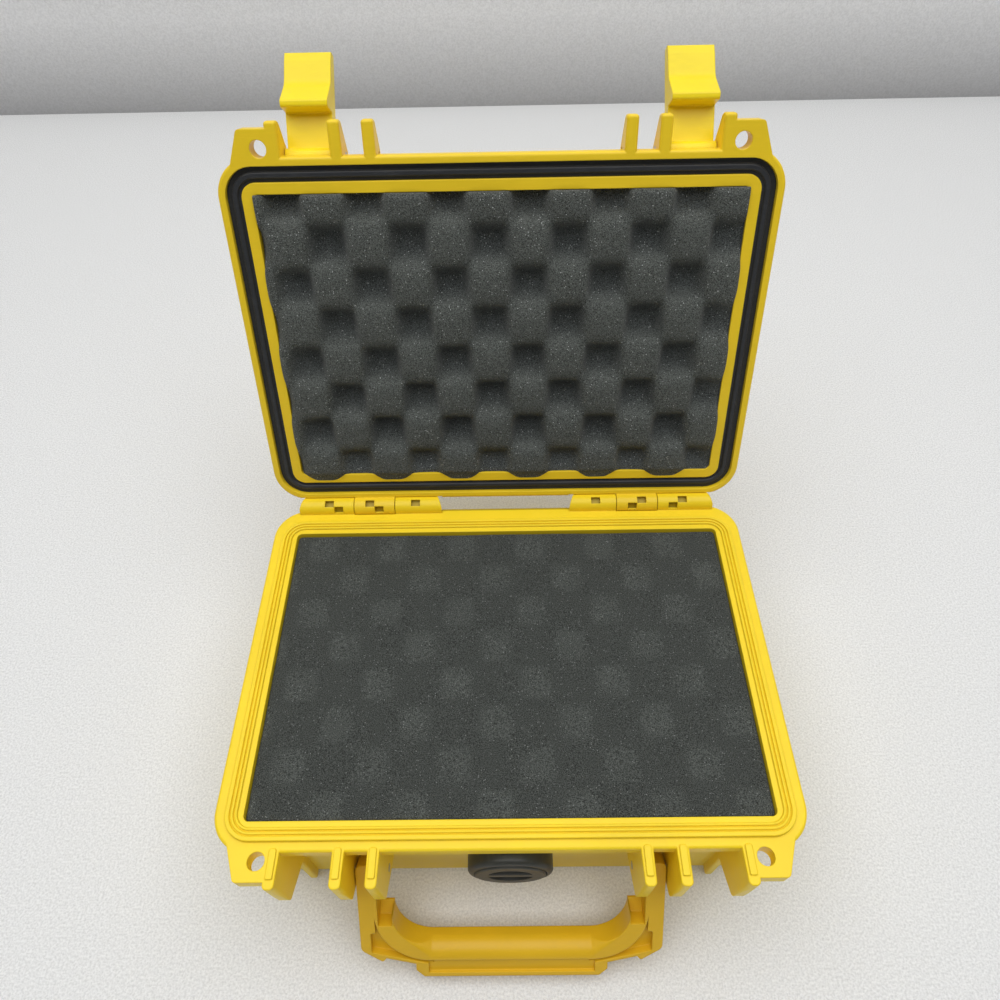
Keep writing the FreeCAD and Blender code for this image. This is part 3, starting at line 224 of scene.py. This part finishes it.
def rounded_plan(middle, half_x, half_y, corner, foam, step, lip):
    """Grid of plan points over a rectangle with round corners, and how far inside its outline each is.

    The grid lines stand one step apart, with closer lines along each side, the last of them as far in as the
    lip. In each corner square the point (p, q) of the unit square goes to
    (p sqrt(1 - q^2 / 2), q sqrt(1 - p^2 / 2)), which bends it to a quarter disc.
    """
    def lines(half):
        rim = half - np.array([0.0, 0.15 * foam.edge, 0.5 * foam.edge, foam.edge, (foam.edge + lip) / 2, lip])
        inner = rim[-1] - 0.3 * foam.edge
        even = np.linspace(-inner, inner, int(round(2 * inner / step)) + 1)
        return np.concatenate([-rim, even, rim[::-1]])

    x, y = np.meshgrid(lines(half_x), lines(half_y), indexing="ij")
    inside = np.minimum(half_x - np.abs(x), half_y - np.abs(y))
    p = np.clip((np.abs(x) - (half_x - corner)) / corner, 0, 1)
    q = np.clip((np.abs(y) - (half_y - corner)) / corner, 0, 1)
    round_x = np.sign(x) * (half_x - corner + corner * p * np.sqrt(1 - q * q / 2))
    round_y = np.sign(y) * (half_y - corner + corner * q * np.sqrt(1 - p * p / 2))
    in_corner = (p > 0) & (q > 0)
    return middle[0] + np.where(in_corner, round_x, x), middle[1] + np.where(in_corner, round_y, y), inside


def edge_drop(inside, foam):
    """How far a cut edge falls away: a quarter circle over the edge's rounding."""
    outward = np.clip(1 - inside / foam.edge, 0, 1)
    return foam.edge * (1 - np.sqrt(1 - outward * outward))


def uneven(x, y, reach):
    """Slow waviness of cut foam: crossed sine waves with unlike lengths, which together stay within reach."""
    waves = sum(np.sin(across * x + along * y + phase) for across, along, phase in UNEVEN_WAVES)
    return reach * waves / len(UNEVEN_WAVES)


def squared(wave, sharpness):
    """A wave between -1 and 1 made squarer: tanh(s w) / tanh(s)."""
    return np.tanh(sharpness * wave) / math.tanh(sharpness)


def checker(x, y, foam, side_sharpness, sharpness):
    """Wave that is 1 on the bumps and -1 in the pits.

    It is the squared cos(2 pi x / pitch) times the squared cos(2 pi y / row pitch).
    """
    across = squared(np.cos(2 * math.pi * (x - foam.bump_x) / foam.pitch), side_sharpness)
    along = squared(np.cos(2 * math.pi * (y - foam.bump_y) / foam.row_pitch), sharpness)
    return across * along


def crate_rise(x, y, foam):
    """Egg-crate height from 0 in a pit to 1 on a bump.

    tanh(k (w + b)), stretched to run from 0 to 1, turns the checkerboard wave w into broad bumps and steep
    pits, and a share of the wave itself domes the bumps. The cut strays a little, so no two pits are alike.
    """
    wave = checker(x + uneven(x, y, foam.waver), y + uneven(y, x, foam.waver), foam,
                   foam.side_squareness, foam.squareness)
    deep = math.tanh(foam.steepness * (foam.breadth - 1))
    high = math.tanh(foam.steepness * (foam.breadth + 1))
    steep = (np.tanh(foam.steepness * (wave + foam.breadth)) - deep) / (high - deep)
    return (1 - foam.crown) * steep + foam.crown * (1 + wave) / 2


def border(rows, columns):
    """Numbers of a grid's border points, once round."""
    number = np.arange(rows * columns).reshape(rows, columns)
    return np.concatenate([number[:-1, 0], number[-1, :-1], number[:0:-1, -1], number[0, :0:-1]])


def block(name, x, y, upper, lower, sides=(), turn=0.0):
    """Closed block between two height fields over one plan grid.

    Each cell of the grid gives one face above and one below. The side is a band from the upper border down to
    the lower one, through any rings of side points in between.
    """
    rows, columns = x.shape
    count = rows * columns
    number = np.arange(count).reshape(rows, columns)
    cells = np.stack([number[:-1, :-1], number[1:, :-1], number[1:, 1:], number[:-1, 1:]], -1).reshape(-1, 4)
    loop = border(rows, columns)
    rings = [loop]
    rings += [2 * count + place * len(loop) + np.arange(len(loop)) for place in range(len(sides))]
    rings += [loop + count]
    bands = [np.stack([above, below, np.roll(below, -1), np.roll(above, -1)], -1)
             for above, below in zip(rings, rings[1:])]
    faces = np.concatenate([cells, cells[:, ::-1] + count, *bands])
    fields = [np.stack([x, y, field], -1).reshape(-1, 3) for field in (upper, lower)]
    points = swung(np.concatenate([*fields, *sides]), turn)
    mesh = bpy.data.meshes.new(name)
    mesh.from_pydata(points.tolist(), [], faces.tolist())
    mesh.shade_smooth()
    mesh.set_sharp_from_angle(angle=SHARP_ANGLE)
    made = bpy.data.objects.new(name, mesh)
    bpy.context.scene.collection.objects.link(made)
    return made


def mark_points(made, upper, lower):
    """Store the share of the marked colour at each point of a block's two fields; its side rings get none."""
    values = np.zeros(len(made.data.vertices), np.float32)
    values[:upper.size] = upper.ravel()
    values[upper.size:2 * upper.size] = lower.ravel()
    made.data.attributes.new("marked", "FLOAT", "POINT").data.foreach_set("value", values)


def node(tree, kind, inputs=None, **settings):
    """Add a shader node, set its options, and fill its inputs with values or with links."""
    made = tree.nodes.new(kind)
    for key, setting in settings.items():
        setattr(made, key, setting)
    for key, source in (inputs or {}).items():
        if isinstance(source, bpy.types.NodeSocket):
            tree.links.new(source, made.inputs[key])
        else:
            made.inputs[key].default_value = source
    return made


def new_group(name, inputs, outputs):
    """An empty shader node group with its named sockets: the tree, its input node and its output node."""
    tree = bpy.data.node_groups.new(name, "ShaderNodeTree")
    for label, kind in inputs:
        tree.interface.new_socket(label, in_out="INPUT", socket_type="NodeSocket" + kind)
    for label, kind in outputs:
        tree.interface.new_socket(label, in_out="OUTPUT", socket_type="NodeSocket" + kind)
    return tree, tree.nodes.new("NodeGroupInput").outputs, tree.nodes.new("NodeGroupOutput").inputs


def ranged(tree, source, low, high, to_low, to_high):
    """A value carried from one range to another, held at both ends."""
    inputs = {"Value": source, "From Min": low, "From Max": high, "To Min": to_low, "To Max": to_high}
    return node(tree, "ShaderNodeMapRange", inputs).outputs["Result"]


def math_of(tree, operation, first, second):
    """One arithmetic step on two values."""
    return node(tree, "ShaderNodeMath", {0: first, 1: second}, operation=operation).outputs[0]


def mixed(tree, factor, first, second, blend_type="MIX"):
    """Two colours mixed by a factor."""
    made = node(tree, "ShaderNodeMix", {"Factor": factor}, data_type="RGBA", blend_type=blend_type)
    for socket, source in ((made.inputs[6], first), (made.inputs[7], second)):
        if isinstance(source, bpy.types.NodeSocket):
            tree.links.new(source, socket)
        else:
            socket.default_value = (*source, 1)
    return made.outputs[2]


def noise(tree, vector, scale, detail=2.0, roughness=0.5):
    """Noise between 0 and 1 with its features 1 / scale apart."""
    inputs = {"Vector": vector, "Scale": scale, "Detail": detail, "Roughness": roughness}
    return node(tree, "ShaderNodeTexNoise", inputs).outputs["Fac"]


def soft_edges_group():
    """Moulded edges: a normal rounded over the given radius, and a mask of the edges themselves."""
    tree, inputs, outputs = new_group("soft_edges", [("Radius", "Float")],
                                      [("Normal", "Vector"), ("Edge", "Float")])
    rounded = node(tree, "ShaderNodeBevel", {"Radius": inputs["Radius"]}, samples=6).outputs["Normal"]
    flat = node(tree, "ShaderNodeNewGeometry").outputs["Normal"]
    along = node(tree, "ShaderNodeVectorMath", {0: rounded, 1: flat}, operation="DOT_PRODUCT")
    tree.links.new(rounded, outputs["Normal"])
    tree.links.new(ranged(tree, along.outputs["Value"], *EDGE_COSINES, 0.0, 1.0), outputs["Edge"])
    return tree


def moulded_grain_group():
    """Moulded surface: fine grain height, slow cloudiness of the colour, and rubbed patches."""
    tree, inputs, outputs = new_group("moulded_grain", [("Vector", "Vector"), ("Grain", "Float")],
                                      [("Height", "Float"), ("Cloud", "Float"), ("Rub", "Float")])
    fine = math_of(tree, "DIVIDE", 1.0, inputs["Grain"])
    grain = noise(tree, inputs["Vector"], fine, 3.0, 0.6)
    cloud = noise(tree, inputs["Vector"], CLOUD_SCALE, 3.0, 0.55)
    stretched = node(tree, "ShaderNodeMapping", {"Vector": inputs["Vector"], "Scale": RUB_STRETCH})
    rub = noise(tree, stretched.outputs["Vector"], RUB_SCALE, 4.0, 0.7)
    tree.links.new(grain, outputs["Height"])
    tree.links.new(ranged(tree, cloud, *CLOUD_RANGE, 0.0, 1.0), outputs["Cloud"])
    tree.links.new(ranged(tree, rub, *RUB_RANGE, 0.0, 1.0), outputs["Rub"])
    return tree


def pin_pocket_shade_group():
    """Painted shade in the pockets beside a pin that runs along X: 1 within a reach of its axis, soon 0
    beyond.
    """
    tree, inputs, outputs = new_group("pin_pocket_shade",
                                      [("Vector", "Vector"), ("Axis", "Vector"), ("Reach", "Float")],
                                      [("Mask", "Float")])
    away = node(tree, "ShaderNodeVectorMath", {0: inputs["Vector"], 1: inputs["Axis"]}, operation="SUBTRACT")
    across = node(tree, "ShaderNodeVectorMath", {0: away.outputs["Vector"], 1: (0.0, 1.0, 1.0)},
                  operation="MULTIPLY")
    distance = node(tree, "ShaderNodeVectorMath", {0: across.outputs["Vector"]}, operation="LENGTH")
    end = math_of(tree, "MULTIPLY", inputs["Reach"], POCKET_FADE)
    mask = ranged(tree, distance.outputs["Value"], inputs["Reach"], end, 1.0, 0.0)
    tree.links.new(mask, outputs["Mask"])
    return tree


def foam_cells_group():
    """Open-cell foam: cell height, a speckled tone, and the few cells whose skins catch the light."""
    tree, inputs, outputs = new_group("foam_cells", [("Vector", "Vector"), ("Cell", "Float")],
                                      [("Height", "Float"), ("Tone", "Float"), ("Glint", "Float")])
    density = math_of(tree, "DIVIDE", 1.0, inputs["Cell"])
    cells = node(tree, "ShaderNodeTexVoronoi", {"Vector": inputs["Vector"], "Scale": density})
    speckle = noise(tree, inputs["Vector"], math_of(tree, "MULTIPLY", density, SPECKLE_DENSITY), 1.0, 0.8)
    skin_density = math_of(tree, "MULTIPLY", density, SKIN_DENSITY)
    skins = node(tree, "ShaderNodeTexVoronoi", {"Vector": inputs["Vector"], "Scale": skin_density})
    chance = node(tree, "ShaderNodeSeparateColor", {"Color": skins.outputs["Color"]}).outputs["Red"]
    lit = ranged(tree, chance, *GLINT_CHANCE, 0.0, 1.0)
    middle = ranged(tree, skins.outputs["Distance"], *GLINT_EDGE, 1.0, 0.0)
    tree.links.new(cells.outputs["Distance"], outputs["Height"])
    tree.links.new(ranged(tree, speckle, *TONE_RANGE, 0.0, 1.0), outputs["Tone"])
    tree.links.new(math_of(tree, "MULTIPLY", lit, middle), outputs["Glint"])
    return tree


def use_group(tree, make, inputs):
    """Place a shared node group in a material, building it the first time."""
    name = make.__name__.removesuffix("_group")
    group = bpy.data.node_groups.get(name) or make()
    return node(tree, "ShaderNodeGroup", inputs, node_tree=group).outputs


def new_material(name, roughness):
    """A material with a Principled surface: its tree, that surface's inputs and the Object coordinates."""
    material = bpy.data.materials.new(name)
    material.use_nodes = True
    tree = material.node_tree
    surface = next(item for item in tree.nodes if item.type == "BSDF_PRINCIPLED").inputs
    surface["Roughness"].default_value = roughness
    return material, tree, surface, node(tree, "ShaderNodeTexCoord").outputs["Object"]


def tinted(base, factor):
    """A colour made lighter or darker."""
    return tuple(channel * factor for channel in base)


def moulded(name, base, roughness, finish, edge_wear_and_highlight_tint=1.12, rub_light=1.05, hinged=False):
    """Moulded plastic: cloudy colour, paler edges that are partly edge wear and partly a painted highlight,
    rubbed gloss and a fine grain under softened edges.

    A hinged piece also has painted shade darkening the pockets beside its hinge pins.
    """
    material, tree, surface, place = new_material(name, roughness)
    surface["Specular IOR Level"].default_value = 0.30
    grain = use_group(tree, moulded_grain_group, {"Vector": place, "Grain": finish.grain})
    edges = use_group(tree, soft_edges_group, {"Radius": finish.edge_round})
    cloudy = mixed(tree, grain["Cloud"], tinted(base, CLOUD_TINT), base)
    rub_share = math_of(tree, "MULTIPLY", grain["Rub"], RUB_SHARE)
    # Paler edges: partly edge wear, partly a painted highlight on the rounded edges.
    edge_wear_and_highlight_share = math_of(tree, "MULTIPLY", edges["Edge"], EDGE_WEAR_HIGHLIGHT_SHARE)
    rubbed = mixed(tree, rub_share, cloudy, tinted(base, rub_light))
    wear_and_painted_light = mixed(tree, edge_wear_and_highlight_share, rubbed, tinted(base, edge_wear_and_highlight_tint))
    if hinged:
        pockets = use_group(tree, pin_pocket_shade_group, {"Vector": place, "Axis": HINGE["pos_m"],
                                                      "Reach": finish.pocket_reach})
        # Painted shade: the pockets beside the hinge pins are darkened.
        wear_and_painted_light = mixed(tree, pockets["Mask"], wear_and_painted_light, tinted(base, POCKET_SHADE_TINT))
    tree.links.new(wear_and_painted_light, surface["Base Color"])
    rough = ranged(tree, grain["Rub"], 0.0, 1.0, roughness - SMOOTHER, roughness + ROUGHER)
    tree.links.new(rough, surface["Roughness"])
    bump = node(tree, "ShaderNodeBump", {"Height": grain["Height"], "Normal": edges["Normal"],
                                         "Strength": GRAIN_STRENGTH, "Distance": GRAIN_DEPTH})
    tree.links.new(bump.outputs["Normal"], surface["Normal"])
    return material


def foam_material(name, plain, marked, glint, foam):
    """Open-cell foam: speckled cells, a few glints, and a second tone where the piece is marked, which is
    painted shade in the lid foam's pits and pressed imprints on the base foam.
    """
    material, tree, surface, place = new_material(name, 0.95)
    surface["Specular IOR Level"].default_value = 0.15
    surface["Sheen Weight"].default_value = 0.10
    cells = use_group(tree, foam_cells_group, {"Vector": place, "Cell": foam.cell})
    mark = node(tree, "ShaderNodeAttribute", attribute_name="marked", attribute_type="GEOMETRY")
    ground = mixed(tree, mark.outputs["Fac"], plain, marked)
    dark = mixed(tree, 1.0, ground, DARK_CELL, "MULTIPLY")
    light = mixed(tree, 1.0, ground, LIGHT_CELL, "MULTIPLY")
    speckled = mixed(tree, cells["Tone"], dark, light)
    shown = math_of(tree, "MULTIPLY", cells["Glint"], glint)
    tree.links.new(mixed(tree, shown, speckled, GLINT_COLOUR), surface["Base Color"])
    bump = node(tree, "ShaderNodeBump", {"Height": cells["Height"], "Strength": 0.8, "Distance": foam.cell})
    tree.links.new(bump.outputs["Normal"], surface["Normal"])
    return material


def finish_nodes(names, material):
    """Give CAD nodes a finish."""
    for name in names:
        frame["nodes"][name].material_slots[0].material = material


def settle(made, body, node_name):
    """A foam piece rides on its body and stands for its CAD solid, which it hides."""
    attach(made, body)
    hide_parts(node_name)


class CASE_OT_shells(bpy.types.Operator):
    """Finish the base and lid in moulded yellow plastic"""

    bl_idname = "case.shells"
    bl_label = "Finish Shells"

    def execute(self, context):
        finish = context.scene.case_finish
        # The base and the lid take a lit and a shaded copy of one yellow: painted light and painted shade.
        for name, base in (("base", finish.base_colour), ("lid", finish.lid_colour)):
            yellow = moulded(name + "_yellow", base, roughness=0.40, finish=finish, hinged=True)
            finish_nodes([name + "_shell"], yellow)
        return {"FINISHED"}


class CASE_OT_latches(bpy.types.Operator):
    """Finish the two latches"""

    bl_idname = "case.latches"
    bl_label = "Finish Latches"

    def execute(self, context):
        finish = context.scene.case_finish
        # The latches' lighter yellow is painted light.
        yellow = moulded("latch_yellow", finish.latch_colour, roughness=0.34, finish=finish)
        finish_nodes(["left_latch", "right_latch"], yellow)
        return {"FINISHED"}


class CASE_OT_handle(bpy.types.Operator):
    """Finish the folding handle"""

    bl_idname = "case.handle"
    bl_label = "Finish Handle"

    def execute(self, context):
        finish = context.scene.case_finish
        # The handle's darker yellow is painted shade.
        yellow = moulded("handle_yellow", finish.handle_colour, roughness=0.42, finish=finish)
        finish_nodes(["handle"], yellow)
        return {"FINISHED"}


class CASE_OT_gasket(bpy.types.Operator):
    """Finish the lid's rubber seal"""

    bl_idname = "case.gasket"
    bl_label = "Finish Gasket"

    def execute(self, context):
        finish = context.scene.case_finish
        # The gasket's much paler edges are a painted highlight on its rounded ridge, with some edge wear.
        rubber = moulded("gasket_rubber", finish.gasket_colour, roughness=0.40, finish=finish,
                         edge_wear_and_highlight_tint=2.0, rub_light=1.6)
        finish_nodes(["lid_gasket"], rubber)
        return {"FINISHED"}


class CASE_OT_valve(bpy.types.Operator):
    """Finish the purge valve, its nut and its seals"""

    bl_idname = "case.valve"
    bl_label = "Finish Valve"

    def execute(self, context):
        finish = context.scene.case_finish
        black = moulded("valve_black", finish.valve_colour, roughness=0.42, finish=finish,
                        edge_wear_and_highlight_tint=1.6, rub_light=1.4)
        rubber = moulded("seal_rubber", finish.seal_colour, roughness=0.60, finish=finish,
                         edge_wear_and_highlight_tint=1.3, rub_light=1.5)
        finish_nodes(["valve_body", "valve_knob", "valve_nut"], black)
        finish_nodes(["valve_body_seal", "valve_knob_seal"], rubber)
        return {"FINISHED"}


class CASE_OT_pins(bpy.types.Operator):
    """Finish the hinge, latch and handle pins in drawn steel"""

    bl_idname = "case.pins"
    bl_label = "Finish Pins"

    def execute(self, context):
        finish = context.scene.case_finish
        material, tree, surface, place = new_material("pin_steel", 0.32)
        surface["Metallic"].default_value = 1.0
        drawn = node(tree, "ShaderNodeMapping", {"Vector": place, "Scale": STREAK_STRETCH})
        streaks = noise(tree, drawn.outputs["Vector"], STREAK_SCALE, 3.0, 0.6)
        steel = mixed(tree, streaks, tinted(finish.pin_colour, STREAK_TINT), finish.pin_colour)
        tree.links.new(steel, surface["Base Color"])
        tree.links.new(ranged(tree, streaks, 0.3, 0.7, 0.26, 0.44), surface["Roughness"])
        pins = ["%s_%s_pin" % (side, use)
                for side in ("left", "right") for use in ("hinge", "latch", "handle")]
        finish_nodes(pins, material)
        return {"FINISHED"}


class CASE_OT_lid_foam(bpy.types.Operator):
    """Build the egg-crate foam of the lid, whose bumps swell over the edge of its cavity

    The foam falls away towards its outer edge by a power of how far out a point is. Where a bump meets the
    edge, the foam swells: fully at the hinges, less at the left and right, and hardly at all at the front. A
    swollen bump's own hollow fades outwards, so that its lobe lies on the land. Pits that the edge cuts are
    shallower, at the front less so.
    """

    bl_idname = "case.lid_foam"
    bl_label = "Build Lid Foam"

    def execute(self, context):
        foam = context.scene.case_foam
        middle, width, depth, thickness = closed_block("lid_foam")
        x, y, inside = rounded_plan(middle, width / 2 + foam.lip, depth / 2 + foam.lip,
                                    foam.corner + foam.lip, foam, foam.step, foam.lip)
        rise = crate_rise(x, y, foam)
        crest = middle[2] - thickness / 2
        wall_x = np.clip(x, middle[0] - width / 2, middle[0] + width / 2)
        wall_y = np.clip(y, middle[1] - depth / 2, middle[1] + depth / 2)
        from_front = np.clip(((y - middle[1]) / depth + 0.5) / FRONT_SHARE, 0, 1)
        from_edge = np.clip((inside - foam.lip) / foam.edge_reach, 0, 1)
        eased = foam.front_ease + (1 - foam.front_ease) * from_front
        deep = 1 - (1 - foam.edge_pits) * (1 - from_edge) * eased
        sunk = foam.pit_depth * (1 - rise) * deep + np.abs(uneven(x, y, foam.waver))
        wall_wave = checker(wall_x, wall_y, foam, foam.squareness, foam.squareness)
        proud = np.clip(0.5 + PROUD_GAIN * wall_wave, 0, 1)
        lifted = proud * np.clip(1 - inside / foam.lip, 0, 1)
        outward = np.clip(1 - inside / (foam.lip + foam.lip_ease), 0, 1)
        face = crest + sunk * (1 - lifted) + foam.lip_fall * outward ** FALL_POWER
        sliver = SLIVER_SHARE * foam.edge
        over_edge = inside < foam.lip + sliver
        lip_back = np.maximum(crest + foam.lip_thickness, face + sliver)
        back = np.where(over_edge, lip_back, middle[2] + thickness / 2)
        swell_x = np.clip(proud * from_front * foam.side_swell, LEAST_SWELL, 1)
        swell_y = np.clip(proud * (y > middle[1]), LEAST_SWELL, 1)
        x, y = wall_x + (x - wall_x) * swell_x, wall_y + (y - wall_y) * swell_y
        made = block("lid_egg_crate", x, y, back, face, turn=LID_TURN)
        # The face is marked darker with depth in the pits: painted shade.
        mark_points(made, np.zeros_like(x), (1 - rise) ** 2)
        charcoal = foam_material("lid_foam_charcoal", foam.lid_colour, foam.pit_colour, glint=1.0, foam=foam)
        made.data.materials.append(charcoal)
        settle(made, "lid", "lid_foam")
        return {"FINISHED"}


class CASE_OT_base_foam(bpy.types.Operator):
    """Build the flat foam block of the base and the pad under it"""

    bl_idname = "case.base_foam"
    bl_label = "Build Base Foam"

    def execute(self, context):
        foam = context.scene.case_foam
        material = foam_material("base_foam_charcoal", foam.base_colour, foam.pressed_colour, glint=0.4,
                                 foam=foam)
        low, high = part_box("base_foam_block")
        half, middle = (high - low) / 2, (low + high) / 2
        x, y, inside = rounded_plan(middle, half.x, half.y, foam.corner, foam, foam.step, 2 * foam.edge)
        bumps = checker(x, y + foam.imprint_shift, foam, IMPRINT_SQUARENESS, IMPRINT_SQUARENESS)
        pressed = np.clip(IMPRINT_GAIN * bumps - IMPRINT_CUT, 0, 1)
        pressed *= IMPRINT_LEVEL + uneven(PATCH_SPEED * x, PATCH_SPEED * y, IMPRINT_PATCHES)
        drop = edge_drop(inside, foam)
        top = high.z - drop - foam.imprint * pressed - np.abs(uneven(x, y, foam.sag))
        made = block("base_foam_slab", x, y, top, low.z + drop, self.notched_side(x, y, foam))
        mark_points(made, pressed, np.zeros_like(x))
        made.data.materials.append(material)
        settle(made, "base", "base_foam_block")

        low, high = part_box("base_foam_pad")
        x, y, inside = rounded_plan(middle, half.x, half.y, foam.corner, foam, PAD_COARSENESS * foam.step,
                                    2 * foam.edge)
        drop = edge_drop(inside, foam)
        pad = block("base_foam_underlay", x, y, high.z - drop, low.z + drop)
        mark_points(pad, np.zeros_like(x), np.zeros_like(x))
        pad.data.materials.append(material)
        settle(pad, "base", "base_foam_pad")
        return {"FINISHED"}

    def notched_side(self, x, y, foam):
        """Rings of side points with a notch in the front face, which clears the valve's nut."""
        loop = border(*x.shape)
        side_x, side_y = x.ravel()[loop], y.ravel()[loop]
        low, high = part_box("valve_nut")
        centre = (low.z + high.z) / 2
        in_front = (np.abs(side_x) < foam.notch_width / 2) & (side_y < np.min(y) + foam.edge)
        sunk = side_y + foam.notch_depth * in_front
        half, lip = foam.notch_height / 2, foam.edge
        levels = ((half + lip, side_y), (half, sunk), (-half, sunk), (-half - lip, side_y))
        return [np.column_stack([side_x, ring_y, np.full_like(side_x, centre + level)])
                for level, ring_y in levels]


def stage_sheet(name, across, profile, material):
    """A stage surface: a profile of (y, z) points carried along X."""
    x = np.repeat(np.array(across), len(profile))
    yz = np.tile(np.array(profile), (len(across), 1))
    count = len(profile)
    start = np.arange((len(across) - 1) * count).reshape(-1, count)[:, :-1].ravel()
    faces = np.stack([start, start + count, start + count + 1, start + 1], -1)
    mesh = bpy.data.meshes.new(name)
    mesh.from_pydata(np.column_stack([x, yz]).tolist(), [], faces.tolist())
    made = bpy.data.objects.new(name, mesh)
    made.data.materials.append(material)
    bpy.context.scene.collection.objects.link(made)


def cloth_material(name, base, foot, rise, thread, shade):
    """Plain cloth: fine threads in the tone and the bump, and painted shade darkening the foot of a hung
    sheet.
    """
    material, tree, surface, place = new_material(name, 0.9)
    surface["Specular IOR Level"].default_value = 0.2
    height = node(tree, "ShaderNodeSeparateXYZ", {"Vector": place}).outputs["Z"]
    fine = noise(tree, place, 1 / thread, 2.0, 0.7)
    # Painted shade: the sheet darkens towards its foot below the rise.
    tone = mixed(tree, ranged(tree, height, 0.0, rise, 0.0, 1.0), foot, base)
    darker = mixed(tree, 1.0, tone, (shade, shade, shade), "MULTIPLY")
    tree.links.new(mixed(tree, ranged(tree, fine, 0.35, 0.70, 0.0, 0.5), tone, darker), surface["Base Color"])
    bump = node(tree, "ShaderNodeBump", {"Height": fine, "Strength": 0.25, "Distance": thread})
    tree.links.new(bump.outputs["Normal"], surface["Normal"])
    return material


class CASE_OT_stage(bpy.types.Operator):
    """Lay the floor, hang the backdrop and set the lights and the camera"""

    bl_idname = "case.stage"
    bl_label = "Set Stage"

    def execute(self, context):
        stage = context.scene.case_stage
        across = np.linspace(-STAGE_REACH, STAGE_REACH, 3)
        white = cloth_material("cloth_white", stage.floor_colour, stage.floor_colour, rise=1.0, thread=0.0009,
                               shade=0.5)
        grey = cloth_material("cloth_grey", stage.wall_colour, stage.foot_colour, rise=stage.foot_height,
                              thread=0.0016, shade=0.7)
        stage_sheet("table_cloth", across, [(-STAGE_REACH, 0.0), (stage.wall_y, 0.0)], white)
        stage_sheet("backdrop", across, [(stage.wall_y, 0.0), (stage.wall_y, BACKDROP_HEIGHT)], grey)
        world = bpy.data.worlds.new("studio")
        world.use_nodes = True
        light = world.node_tree.nodes["Background"].inputs
        light["Strength"].default_value = stage.sky
        light["Color"].default_value = (1, 1, 1, 1)
        context.scene.world = world
        lamp = bpy.data.lights.new("ceiling_panel", "AREA")
        lamp.energy = stage.panel_power
        lamp.size = stage.panel_size
        panel = bpy.data.objects.new("ceiling_panel", lamp)
        panel.location = stage.panel_place
        context.scene.collection.objects.link(panel)
        context.scene.view_settings.view_transform = "Standard"
        self.aim(context, stage)
        return {"FINISHED"}

    def aim(self, context, stage):
        """Camera axes from pitch and yaw, then turned in the picture by roll."""
        level = math.cos(stage.pitch)
        forward = Vector((math.sin(stage.yaw) * level, math.cos(stage.yaw) * level, -math.sin(stage.pitch)))
        right = Vector((math.cos(stage.yaw), -math.sin(stage.yaw), 0))
        down = forward.cross(right)
        x_axis = math.cos(stage.roll) * right + math.sin(stage.roll) * down
        y_axis = math.sin(stage.roll) * right - math.cos(stage.roll) * down
        camera = bpy.data.cameras.new("photo_camera")
        camera.lens = stage.lens
        camera.sensor_width = SENSOR_WIDTH
        camera.clip_start = NEAR_CLIP
        made = bpy.data.objects.new("photo_camera", camera)
        turn = Matrix((x_axis, y_axis, -forward)).transposed().to_4x4()
        made.matrix_world = Matrix.Translation(stage.camera_place) @ turn
        context.scene.collection.objects.link(made)
        context.scene.camera = made


PIECE_OPERATORS = (CASE_OT_shells, CASE_OT_latches, CASE_OT_handle, CASE_OT_gasket, CASE_OT_valve,
                   CASE_OT_pins, CASE_OT_lid_foam, CASE_OT_base_foam, CASE_OT_stage)


class CASE_PT_sidebar(bpy.types.Panel):
    """Lists the case's pieces and their settings"""

    bl_idname = "CASE_PT_sidebar"
    bl_label = "Protective Case"
    bl_space_type = "VIEW_3D"
    bl_region_type = "UI"
    bl_category = "Case"

    def draw(self, context):
        for operator in PIECE_OPERATORS:
            self.layout.operator(operator.bl_idname)
        for settings in (context.scene.case_foam, context.scene.case_finish, context.scene.case_stage):
            box = self.layout.box()
            for name in settings.__annotations__:
                box.prop(settings, name)


SETTINGS = {"case_foam": CaseFoamSettings, "case_finish": CaseFinishSettings, "case_stage": CaseStageSettings}
CLASSES = (*SETTINGS.values(), *PIECE_OPERATORS, CASE_PT_sidebar)


def register():
    for item in CLASSES:
        bpy.utils.register_class(item)
    for name, kind in SETTINGS.items():
        setattr(bpy.types.Scene, name, PointerProperty(type=kind))


def unregister():
    for name in SETTINGS:
        delattr(bpy.types.Scene, name)
    for item in reversed(CLASSES):
        bpy.utils.unregister_class(item)


def main():
    register()
    bpy.ops.case.shells()
    bpy.ops.case.latches()
    bpy.ops.case.handle()
    bpy.ops.case.gasket()
    bpy.ops.case.valve()
    bpy.ops.case.pins()
    bpy.ops.case.lid_foam()
    bpy.ops.case.base_foam()
    bpy.ops.case.stage()


if __name__ == "__main__":
    main()
